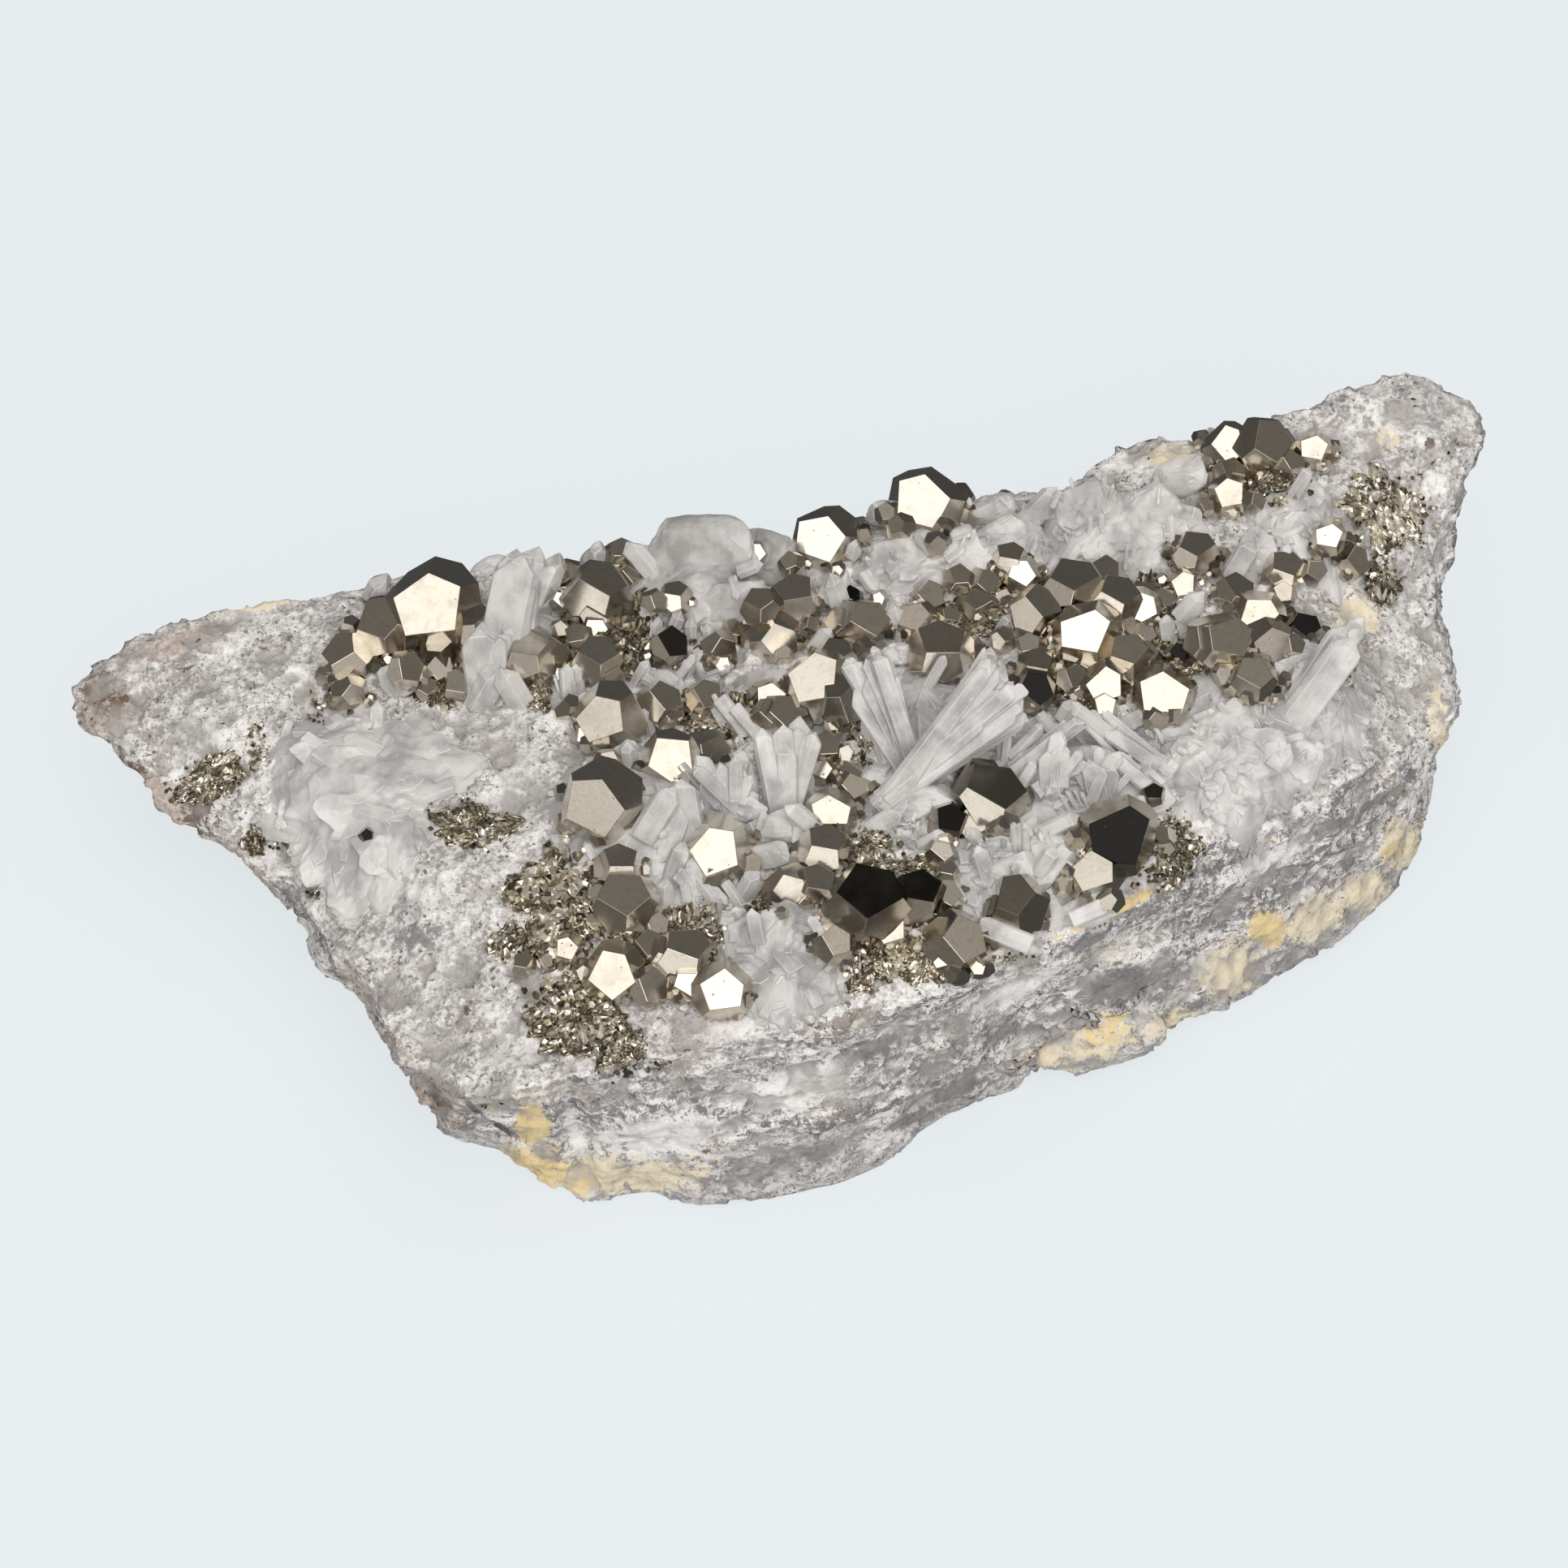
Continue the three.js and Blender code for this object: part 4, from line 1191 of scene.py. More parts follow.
# Stains of the granite by colour: middle in the picture, half sizes in dots, turn, and strength
STAINS: dict[str, Rows] = {
    "rust": (
        (126, 862, 44, 46, 60, 0.62), (165, 950, 34, 24, -40, 0.5), (243, 1003, 34, 44, 20, 0.6),
        (540, 1354, 54, 24, -60, 0.56), (575, 1245, 9, 7, 0, 0.7), (580, 1270, 7, 7, 0, 0.7),
        (870, 1417, 9, 6, 0, 0.7), (1665, 1060, 9, 7, 0, 0.7), (1762, 546, 8, 9, 0, 1.0),
    ),
    "cream": (
        (240, 1020, 50, 20, -45, 0.5), (315, 745, 60, 12, 12, 0.8), (800, 1450, 110, 30, 4, 0.7),
        (1515, 1195, 50, 44, 20, 0.9), (1680, 1100, 44, 34, 30, 0.9), (1620, 1130, 60, 34, 30, 0.8),
        (1730, 1040, 40, 46, 30, 0.8), (1560, 1040, 60, 12, 26, 0.5), (1440, 1262, 40, 22, 20, 0.8),
        (1290, 1300, 44, 24, 20, 0.7), (1380, 1120, 90, 14, 26, 0.6), (1710, 540, 34, 26, 20, 0.6),
        (1440, 560, 46, 26, 10, 0.7), (1670, 755, 42, 46, 30, 0.7), (1350, 1285, 90, 40, 22, 0.7),
        (1775, 900, 22, 100, 12, 0.6), (720, 1450, 90, 34, 6, 0.85),
    ),
    "brown": (
        (130, 870, 50, 60, 0, 0.9), (225, 790, 120, 22, 16, 0.7), (350, 738, 60, 12, 8, 0.6),
        (200, 985, 90, 26, -42, 0.8), (300, 1062, 90, 18, -42, 0.6), (440, 1215, 70, 24, -62, 0.6),
        (535, 1350, 60, 26, -55, 0.9), (480, 1290, 40, 30, -50, 0.5), (860, 1290, 90, 40, 0, 0.4),
    ),
    "purple": (
        (1640, 500, 90, 30, 20, 0.42), (1800, 600, 20, 120, 0, 0.45), (1560, 550, 60, 20, 10, 0.38),
        (1740, 760, 30, 80, 0, 0.38), (1650, 950, 40, 40, 0, 0.4), (980, 1420, 120, 24, 16, 0.45),
        (1160, 1260, 110, 24, 24, 0.45), (760, 1460, 90, 18, 0, 0.4), (515, 1155, 48, 26, 10, 0.7),
        (1150, 1325, 70, 30, 24, 0.5), (1745, 500, 60, 60, 0, 0.42), (1450, 1205, 80, 26, 24, 0.45),
        (1080, 1290, 46, 14, 22, 0.9), (1180, 1340, 60, 14, 24, 0.8), (1370, 1215, 60, 22, 22, 1.0),
        (1335, 1162, 46, 12, 26, 0.8), (1640, 1020, 50, 14, 26, 0.8), (1500, 1130, 50, 10, 24, 0.7),
        (1010, 1420, 40, 10, 20, 0.8), (1120, 1380, 50, 9, 24, 0.8), (930, 1450, 50, 9, 8, 0.7),
        (1240, 1270, 40, 10, 26, 0.8), (1470, 1240, 34, 9, 24, 0.8), (1690, 990, 34, 8, 34, 0.8),
        (1580, 1185, 34, 8, 26, 0.7), (850, 1333, 8, 7, 0, 0.9), (1600, 1090, 40, 10, 26, 0.6),
    ),
    "gold": (
        (656, 1386, 27, 32, 0, 1.0), (662, 1438, 62, 36, -24, 0.75), (700, 1462, 60, 22, 4, 0.6),
        (605, 1365, 10, 9, 0, 0.8), (1560, 1145, 32, 28, 20, 0.9), (1362, 1270, 44, 26, 20, 0.6),
        (1714, 1050, 18, 14, 30, 0.9), (1370, 1122, 82, 9, 26, 1.0), (1444, 1020, 10, 24, 0, 0.8),
    ),
    "white": (
        (1420, 560, 60, 24, 12, 0.8), (710, 1400, 16, 60, 20, 0.8), (260, 905, 60, 36, 10, 0.5),
        (1240, 1225, 110, 22, 24, 0.8), (1560, 1060, 90, 14, 28, 0.8), (820, 1400, 130, 40, 6, 0.8),
        (980, 1340, 90, 50, 20, 0.8), (1090, 1400, 60, 20, 26, 0.7), (1250, 1290, 60, 18, 26, 0.6),
        (1420, 1190, 60, 16, 26, 0.6), (640, 1300, 60, 40, 10, 0.6), (1600, 1000, 70, 16, 30, 0.6),
        (1760, 960, 20, 60, 20, 0.6), (880, 1270, 90, 26, 0, 0.7),
    ),
    "dark": (
        (580, 1362, 34, 4, -40, 0.9), (620, 1390, 26, 4, -30, 0.9), (672, 1362, 22, 4, -62, 0.8),
        (778, 1352, 6, 5, 0, 0.8), (808, 1338, 6, 5, 0, 0.8), (190, 925, 6, 12, 0, 0.6),
    ),
}

# Pyrite crystals by group: place in the picture, radius in dots, degrees that the front face is turned and
# raised, direction of the point, and where they aren't usual the height of the middle above the ground in radii
# and the painted darkness from 0 to 1, a dark reflection painted in, above all on the front face
PYRITE_GROUPS: dict[str, Rows] = {
    "back_left": (
        (537, 754, 66, -6, 5, 96, 0.5), (474, 778, 42, -14, 28, 70, 0.5), (430, 812, 37, -24, 26, 120, 0.4),
        (592, 778, 34, 36, 4, 20, 0.4), (500, 826, 26, 30, 10, 10, 0.3), (434, 856, 24, 20, -20, 40, 0.2),
        (540, 826, 24, 10, 14, 40), (528, 852, 16, 0, 30, 60), (586, 822, 20, 22, -12, 10),
        (566, 846, 22, -10, 24, 80),
    ),
    "left_small": ((452, 1030, 11, 0, 10, 30, 0.1, 1.0),),
    "left_of_centre": ((660, 808, 34, -10, 42, 80), (684, 828, 15, 6, -6, 10)),
    "back_ridge": (
        (737, 735, 43, 14, 40, 60, 0.5), (766, 686, 26, 6, 32, 90), (738, 816, 34, -6, 40, 60),
        (703, 712, 24, -26, 20, 30), (692, 742, 15, 4, 6, 50), (806, 740, 16, 24, 6, 20), (690, 776, 14, 10, 10, 20),
        (775, 712, 16, 20, 24, 40), (736, 776, 19, -4, -4, 60), (713, 786, 20, -14, 28, 100),
        (832, 737, 22, 0, 44, 80),
    ),
    "dark_knob": ((825, 800, 26, 24, 28, 30, 0.35, 0.8), (886, 800, 25, 30, -12, 40), (892, 820, 13, -6, 8, 120)),
    "centre_back": (
        (978, 742, 34, 4, 40, 100, 0.5), (940, 750, 27, -18, 36, 60), (956, 786, 33, 10, -10, 40),
        (904, 778, 17, 14, 22, 80), (966, 808, 14, 0, 20, 20), (1000, 772, 16, 26, 10, 60),
        (924, 770, 13, -20, 0, 10), (976, 694, 16, -20, 22, 30), (932, 682, 15, 0, 4, 60),
    ),
    "back_edge": ((1018, 664, 42, -13, 3, 70, 0.4), (1064, 656, 14, 16, 26, 60)),
    "back_pentagon": ((1141, 624, 48, -8, 7, 75, 0.45), (1094, 634, 17, -10, 20, 20)),
    "centre_grey": ((1060, 770, 36, 20, 16, 60), (1048, 738, 16, 0, 20, 30, 0.35, 1.0), (1084, 738, 12, -6, 0, 10)),
    "centre_left": ((750, 886, 43, -16, -6, 108, 0.5), (812, 868, 32, 22, 30, 40), (870, 866, 27, 14, 26, 100)),
    "centre_left_pentagon": (
        (826, 935, 36, 0, 2, 265, 0.45), (868, 928, 30, 32, 4, 10, 0.35), (748, 938, 17, 10, 10, 0, 0.6),
    ),
    "centre_long": (
        (1010, 846, 44, -12, 12, 100, 0.5), (1044, 866, 34, 34, -2, 20, 0.4), (1030, 812, 28, 4, 44, 60, 0.6),
        (965, 884, 30, 18, 24, 120), (948, 860, 24, -2, 4, 80), (926, 886, 19, -16, 18, 40),
        (1018, 924, 21, 4, 30, 20), (1015, 950, 18, -10, 10, 70), (1045, 955, 18, 20, 24, 50),
        (1040, 930, 14, 10, 0, 10),
    ),
    "fan_top": ((1160, 806, 42, 0, 40, 90, 0.5),),
    "ridge_right": (
        (1337, 782, 42, -6, 2, 80, 0.5), (1372, 742, 36, 14, 40, 60, 0.6), (1278, 756, 35, 22, 30, 40),
        (1318, 726, 40, 4, 44, 60, 0.5), (1358, 712, 28, 18, 32, 30, 0.5), (1208, 748, 24, -10, 34, 50),
        (1244, 690, 22, 8, 38, 80), (1182, 716, 20, 0, 30, 20), (1258, 708, 26, -4, 6, 60),
        (1300, 790, 14, 0, 12, 30), (1272, 796, 18, -18, 22, 100), (1234, 736, 14, 10, 8, 10),
        (1386, 772, 20, 20, 0, 10), (1310, 738, 20, 16, 30, 20), (1212, 720, 22, 24, 12, 50),
        (1235, 790, 18, 26, 36, 40), (1190, 745, 14, 12, 34, 20),
    ),
    "ridge_back": ((1130, 765, 26, -14, 16, 70), (1146, 738, 24, 10, 22, 40), (1168, 762, 16, 20, 20, 80)),
    "ridge_bright": (
        (1405, 750, 27, -6, 4, 40), (1470, 684, 31, 6, 38, 60, 0.5), (1430, 742, 18, 10, 24, 80),
        (1456, 722, 22, 0, 6, 100), (1410, 784, 17, 16, 12, 50),
    ),
    "ridge_front": (
        (1392, 812, 32, -8, 30, 70), (1362, 845, 30, -4, -2, 30), (1360, 870, 18, 2, 8, 90),
        (1340, 822, 16, 10, 30, 60), (1320, 840, 21, 24, 24, 20),
    ),
    "striated_pentagon": ((1434, 856, 37, -4, 0, 85, 0.4), (1425, 885, 18, 10, -16, 40)),
    "ridge_black": (
        (1276, 852, 28, 0, 4, 50, 0.35, 1.0), (1250, 850, 18, -12, 26, 20, 0.35, 0.7),
        (1274, 822, 24, 8, 30, 80, 0.35, 0.3),
    ),
    "right_group": (
        (1506, 795, 40, 18, 14, 80, 0.45), (1548, 760, 35, -2, 4, 60, 0.5), (1522, 732, 26, 16, 38, 30),
        (1562, 796, 33, 12, -6, 100), (1544, 838, 31, -8, 26, 60), (1608, 773, 24, 4, 10, 50, 0.35, 1.0),
        (1583, 704, 25, 10, 30, 70), (1590, 796, 17, 24, 16, 10), (1580, 732, 17, -8, 12, 20),
        (1452, 806, 16, 0, 4, 40, 0.35, 1.0), (1478, 806, 16, 0, 20, 70),
    ),
    "top_right": (
        (1555, 552, 41, 22, 14, 60, 0.5), (1511, 550, 31, -6, 2, 40, 0.45), (1618, 556, 26, -2, 6, 80),
        (1514, 613, 28, -2, 2, 100), (1491, 592, 14, -16, 20, 70), (1486, 626, 14, 6, 24, 30),
        (1545, 620, 16, 22, 6, 60), (1590, 574, 20, 14, 22, 30), (1515, 586, 23, 20, 30, 20),
    ),
    "right_edge": (
        (1636, 664, 25, -2, 4, 80), (1657, 666, 13, 20, 34, 10), (1616, 705, 19, 20, 6, 60),
        (1666, 690, 23, 24, -2, 40),
    ),
    "front_left_large": ((744, 988, 46, -14, -13, 64, 0.5),),
    "front_pentagon": (
        (886, 1044, 40, -2, 0, 110, 0.45), (900, 1062, 28, 36, 6, 30), (925, 1066, 17, 16, 8, 90),
        (880, 1080, 21, 10, -20, 60),
    ),
    "left_front": ((775, 1112, 38, -6, 30, 60, 0.5), (765, 1070, 29, 6, 42, 90, 0.5), (806, 1142, 20, 16, 12, 20)),
    "front_smoky": (
        (758, 1198, 38, -7, -2, 50, 0.45), (845, 1180, 34, 12, 36, 70), (800, 1216, 25, 26, 6, 20),
        (800, 1168, 24, 10, 30, 40), (673, 1186, 11, 8, 20, 30), (645, 1188, 15, -10, 34, 80),
        (700, 1170, 20, -6, 0, 75),
    ),
    "front_bar": ((892, 1222, 34, 2, 2, 20, 0.3), (852, 1214, 24, -10, 4, 60, 0.3)),
    "middle_pentagon": ((1026, 1002, 31, -4, 2, 90), (1052, 972, 22, 14, 12, 40)),
    "middle_dark": ((1015, 1050, 32, 6, 40, 80, 0.4),),
    "tan_block": ((974, 1096, 31, 6, -8, 45), (1006, 1090, 26, 20, 30, 80), (1025, 1162, 25, 8, 16, 30)),
    "front_black": (
        (1070, 1110, 50, 0, 30, 50, 0.5, 0.9), (1130, 1106, 36, 6, 30, 80, 0.45, 0.9),
        (1180, 1160, 40, 16, 10, 40, 0.3), (1098, 1148, 25, -4, 14, 30), (1168, 1076, 16, 0, 36, 0),
        (1167, 1104, 20, 8, 20, 60), (1160, 1052, 19, 4, 16, 50),
    ),
    "fan_front": (
        (1222, 985, 44, 14, 36, 60, 0.5, 0.55), (1170, 1016, 26, 4, 14, 80, 0.4, 1.0), (1198, 1018, 23, -6, 14, 30),
    ),
    "front_right_bumpy": ((1255, 1114, 35, -14, 24, 70, 0.4, 0.6), (1228, 1120, 16, -20, 30, 20)),
    "front_right_black": (
        (1376, 1030, 48, 2, 2, 85, 0.5, 1.0), (1346, 1080, 36, -6, 16, 30, 0.2), (1435, 1048, 14, 4, 20, 60),
        (1420, 978, 15, 4, 10, 90, 0.35, 1.0),
    ),
}


@dataclass
class PyriteCrystals:
    """The pyrite crystals of one group, grown into each other.

    The usual lift and painted darkness stand for those that a crystal's row leaves out; the darkness paints in a dark
    reflection. Crystals from twin_from to twin_to dots get a twin, and those from fill_from dots on small ones at
    their foot.
    """

    group: str
    crystals: Rows
    # the usual lift in radii and the usual painted darkness
    usual: tuple[float, float] = (0.35, 0.0)
    face_reach: float = 0.82
    face_spread: float = 0.13
    front_share: float = 0.84
    edge: float = 0.035
    fill_from: float = 20
    fill_count: int = 8
    fill_sizes: tuple[float, float] = (0.16, 0.42)
    twin_from: float = 26
    twin_to: float = 45
    twin_raised: float = 12

    def build(self, ground: Ground, material: Material) -> None:
        """Makes the group, for its node or its numbered nodes.

        Args:
            ground: what the crystals stand on.
            material: the pyrite.
        """
        group = Assembly()
        group.mesh.loops.layers.uv.new("faces")
        for crystal in self.crystals:
            right, down, radius, turned, raised, spin, lift, dark = (*crystal, *self.usual[len(crystal) - 6 :])
            reach = radius * VIEW.dot
            dice = random.Random(right * 31 + down)
            centre = ground.raised(right, down, reach * lift)
            axes = VIEW.facing(turned, raised, spin)
            self._grow(group, dice, reach, centre, axes, dark)
            if self.twin_from <= radius <= self.twin_to and raised > self.twin_raised:
                side = axes @ Vector((dice.uniform(-1, 1), dice.choice((-1, 1)), dice.uniform(-0.9, -0.2)))
                self._grow(group, dice, reach * dice.uniform(0.6, 0.8), centre + side * reach * 0.4, axes, dark)
            if radius >= self.fill_from:
                self._fill(group, dice, ground, (right, down, radius))
        prefix = f"pyrite_{self.group}"
        piece = finished(f"{prefix}_crystals", group.mesh, material)
        taken = [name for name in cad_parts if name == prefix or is_copy(name, prefix)]
        if taken:
            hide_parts(*taken)

    def _grow(
        self, group: Assembly, dice: random.Random, reach: float, centre: Vector, axes: Matrix, dark: float,
        fine: bool = True,
    ) -> None:
        """Adds one crystal.

        Args:
            group: where it goes.
            dice: the source of its irregularity.
            reach: distance of its corners from its middle.
            centre: its middle.
            axes: its directions.
            dark: 1 for a nearly black one, whose dark reflection is painted in.
            fine: whether its edges are broken.
        """
        body = pyritohedron(reach, dice, self.face_spread, self.face_reach, self.front_share if fine else 1.0)
        self._dress(body, dice, dark, fine)
        group.add(body, Matrix.Translation(centre) @ axes.to_4x4())
        body.free()

    def _fill(self, group: Assembly, dice: random.Random, ground: Ground, around: tuple) -> None:
        """Adds small crystals at the foot of a large one.

        Args:
            group: where they go.
            dice: the source of their irregularity.
            ground: what they stand on.
            around: the large one's place and radius in dots.
        """
        right, down, radius = around
        for _ in range(self.fill_count):
            angle = dice.uniform(math.pi * 0.9, math.pi * 2.1)
            away = radius * dice.uniform(0.85, 1.15)
            spot = (right + math.cos(angle) * away, down - math.sin(angle) * away * 0.9)
            met = ground.seen(*spot)
            if met is None or met[1].z < 0.4:
                continue
            reach = radius * dice.uniform(*self.fill_sizes) * VIEW.dot
            axes = VIEW.facing(dice.uniform(-40, 40), dice.uniform(-30, 50), dice.uniform(0, 360))
            # one small crystal in three gets a painted dark reflection of 0.6
            self._grow(group, dice, reach, met[0] + met[1] * reach * 0.4, axes, dice.choice((0, 0, 0.6)), False)

    def _dress(self, body: Mesh, dice: random.Random, dark: float, fine: bool) -> None:
        """Gives each face its own tone, its share of the painted darkness and a map along its growth lines, and breaks
        the sharp edges.

        Args:
            body: the crystal.
            dice: the source of its irregularity.
            dark: 1 for a nearly black one, above all in front, whose dark reflection is painted in.
            fine: whether its edges are broken.
        """
        tone = body.faces.layers.float.new("tone")
        shade = body.faces.layers.float.new("dark")
        chart = body.loops.layers.uv.new("faces")
        for face in body.faces:
            face[tone] = dice.random()
            # painted dark reflection: the front face takes all of the darkness, the other faces about a third of it
            face[shade] = dark * (1.0 if face.normal.z > 0.9 else 0.35)
            along = max(face.edges, key=lambda edge: edge.calc_length())
            first = (along.verts[1].co - along.verts[0].co).normalized()
            second = face.normal.cross(first)
            for loop in face.loops:
                loop[chart].uv = (loop.vert.co.dot(first) / MM, loop.vert.co.dot(second) / MM)
        if fine:
            break_edges(body, self.edge * MM)


def is_copy(name: str, prefix: str) -> bool:
    """Whether a node's name is the prefix with a number after it."""
    return name.startswith(prefix + "_") and name[len(prefix) + 1 :].isdigit()


@dataclass
class QuartzPatch:
    """One patch of quartz: its crust, its large prisms and the small ones that cover it.

    Lengths are in millimetres and places in dots of the picture, if nothing else is said.
    A bed has its middle, half sizes, turn and half thickness.
    A lump has its middle, half length and half width in dots, heading, half thickness, lean and squareness.
    A prism has its middle, length, width, heading, lean and flatness.
    A sheaf has its root, length, width, first and last heading, count and lean.
    Points have their middle, half sizes in dots, count, length, slimness, heading and its spread.
    The mosaic is the flat crystals that lie half sunk in the beds, and proud says how far crystals stand out.
    A pair is the least and the most of what differs from crystal to crystal, as a share of its row or in degrees.
    """

    name: str
    beds: Rows
    lumps: Rows
    prisms: Rows
    sheaves: Rows = ()
    points: Rows = ()
    smoky: bool = False
    sink: float = 0.4
    detail: int = 5
    lump_detail: int = 4
    lump_sides: int = 14
    lump_rise: float = 0.7
    lump_stand: float = 0.7
    lump_facets: tuple[float, float] = (0.62, 0.9)
    lump_waves: float = 0.05
    lump_relief: tuple[tuple[float, float], ...] = ((3.0, 0.14), (1.1, 0.05))
    dome: float = 2.0
    rim_steps: int = 72
    rim_parts: int = 20
    most_step: float = 1.6
    most_fall: float = 5.0
    rim_room: float = 0.88
    roughness: float = 0.3
    block_relief: float = 0.4
    block_size: float = 3.6
    small_relief: float = 0.12
    small_size: float = 1.3
    edge: float = 0.06
    edge_share: float = 0.05
    proud: float = 1.0
    point_share: float = 0.5
    point_upward: float = 0.3
    point_size: tuple[float, float] = (0.5, 1.3)
    point_width: tuple[float, float] = (0.5, 1.2)
    point_flatness: tuple[float, float] = (0.4, 1)
    point_lean: tuple[float, float] = (-5, 45)
    point_roll: tuple[float, float] = (0, 60)
    point_rise: float = 0.1
    prism_roll: float = 9
    sheaf_length: tuple[float, float] = (0.75, 1.08)
    sheaf_width: tuple[float, float] = (0.45, 1.4)
    sheaf_flatness: tuple[float, float] = (0.25, 0.5)
    sheaf_lean: float = 5
    sheaf_roll: float = 16
    sheaf_foot: float = 5
    sheaf_rise: float = 0.42
    mosaic_cover: float = 1.1
    mosaic_length: tuple[float, float] = (2.0, 5.0)
    mosaic_width: tuple[float, float] = (0.32, 0.6)
    mosaic_flatness: tuple[float, float] = (0.45, 0.64)
    mosaic_rise: tuple[float, float] = (-0.1, 0.35)
    mosaic_upward: float = 0.45
    mosaic_shrink: float = 0.35
    mosaic_tilt: float = 11
    mosaic_proud: float = 1.1
    mosaic_reach: float = 0.97

    def build_crust(self, slab: Ground, ground: Ground, material: Material) -> bpy.types.Object:
        """Makes the crust.

        Args:
            slab: the bare slab, which the crust follows.
            ground: gets the crust, for what grows on it.
            material: milky quartz.

        Returns:
            The piece.
        """
        crust = Assembly()
        self.rim_layer = crust.mesh.verts.layers.float.new("rim")
        for bed in self.beds:
            self._bed(crust.mesh, slab, bed)
        for lump in self.lumps:
            self._lump(crust.mesh, slab, lump)
        ground.cover(crust.mesh)
        for bed in self.beds:
            self._mosaic(crust, ground, bed[:5])
        return finished(f"quartz_{self.name}_crust", crust.mesh, material)

    def _mosaic(self, crust: Assembly, ground: Ground, oval: Numbers) -> None:
        """Covers a bed with flat crystals that lie half sunk in it, each with its own heading and tilt.

        Args:
            crust: where they go.
            ground: what they lie in.
            oval: the bed's middle, half sizes in dots and turn.
        """
        right, down, across, along, _ = oval
        dice = random.Random(right * 5 + down)
        shortest, longest = self.mosaic_length
        area = math.pi * across * along * VIEW.dot ** 2 / MM ** 2 / math.sin(math.radians(VIEW.tilt))
        count = int(area * self.mosaic_cover / ((shortest + longest) / 2) ** 2 * 2)
        for _ in range(count):
            angle, reach = dice.uniform(0, math.tau), math.sqrt(dice.random()) * self.mosaic_reach
            spot = oval_spot(oval, math.cos(angle) * reach, math.sin(angle) * reach)
            met = ground.seen(*spot)
            if met is None or met[1].z < self.mosaic_upward:
                continue
            tilt = random_way(dice) * math.tan(math.radians(self.mosaic_tilt))
            normal = (met[1] + Vector((0, 0, 1)) + tilt).normalized()
            heading = dice.uniform(0, math.tau)
            length = Vector((math.cos(heading), math.sin(heading), 0))
            length = (length - normal * length.dot(normal)).normalized()
            axes = Matrix((normal.cross(length), normal, length)).transposed()
            size = dice.uniform(shortest, longest) * (1 - self.mosaic_shrink * reach)
            width = size * dice.uniform(*self.mosaic_width)
            flatness = dice.uniform(*self.mosaic_flatness)
            proud = dice.uniform(*self.mosaic_rise) * self.mosaic_proud
            centre = met[0] + normal * ((proud - width * flatness / 2) * MM)
            self._prism(crust, dice, (size, width, flatness), centre, axes)

    def _bed(self, mesh: Mesh, slab: Ground, bed: Numbers) -> None:
        """Adds a low blocky crust over an oval of the slab.

        Args:
            mesh: where it goes.
            slab: what it follows.
            bed: its row.
        """
        right, down, across, along, turn, thickness = bed
        centre = slab.raised(right, down, 0)
        size = VIEW.plan_size(across, along)
        swing = Matrix.Rotation(math.radians(turn), 2)
        rim = self._rim(slab, centre, swing, size)
        made = bmesh.ops.create_icosphere(mesh, subdivisions=self.detail, radius=1.0)
        for vert in made["verts"]:
            point = vert.co.copy()
            swell = 1 + self.roughness * cloud(Vector((point.x * 2 + right, point.y * 2, 0)))
            step = math.atan2(point.y, point.x) / math.tau * self.rim_steps
            share = step - math.floor(step)
            first, second = (rim[(math.floor(step) + side) % self.rim_steps] for side in (0, 1))
            swell *= first + (second - first) * share
            plan = swing @ Vector((point.x * size[0] * swell, point.y * size[1] * swell))
            spot = Vector((centre.x + plan.x, centre.y + plan.y, 0)) / MM
            blocks = broken_grain(Vector((spot.x, spot.y, point.z * 3)), self.block_size) * self.block_relief
            small = broken_grain(Vector((spot.x, spot.y, point.z * 3 + 9)), self.small_size) * self.small_relief
            top = max(0.0, point.z)
            vert[self.rim_layer] = 1 - top
            level = max(slab.height(spot.x * MM, spot.y * MM), centre.z - self.most_fall * MM) - self.sink * MM
            rise = math.copysign(abs(point.z) ** self.dome, point.z) * thickness + (blocks + small) * top ** 0.5
            vert.co = Vector((spot.x * MM, spot.y * MM, level + rise * MM))

    def _lump(self, mesh: Mesh, slab: Ground, lump: Numbers) -> None:
        """Adds a rounded, frosted block or tablet whose broad side looks at the eye.

        Args:
            mesh: where it goes.
            slab: what it stands on.
            lump: its row, whose squareness is 2 for an egg and more for a block.
        """
        right, down, along, across, heading, thickness, lean, squareness = lump
        centre = slab.raised(right, down, thickness * self.lump_stand * MM)
        turn = VIEW.pointing(heading, lean, 0)
        thickness *= self.lump_rise
        size = Vector((across * VIEW.dot, thickness * MM, along * VIEW.dot))
        made = bmesh.ops.create_icosphere(mesh, subdivisions=self.lump_detail, radius=1.0)
        dice = random.Random(right * 13 + down)
        sides = [(random_way(dice).normalized(), dice.uniform(*self.lump_facets)) for _ in range(self.lump_sides)]
        for vert in made["verts"]:
            point = vert.co
            reach = sum(abs(value) ** squareness for value in point) ** (-1 / squareness)
            reach = min([reach, *(far / max(way.dot(point), 0.1) for way, far in sides)])
            local = point * (reach * (1 + self.lump_waves * cloud(point * 1.7 + Vector((right, down, 0)))))
            spot = centre + turn @ Vector((local.x * size.x, local.y * size.y, local.z * size.z))
            relief = sum(broken_grain(spot / MM, wide) * high for wide, high in self.lump_relief)
            vert.co = spot + turn @ point.normalized() * relief * MM
            vert[self.rim_layer] = 0.0

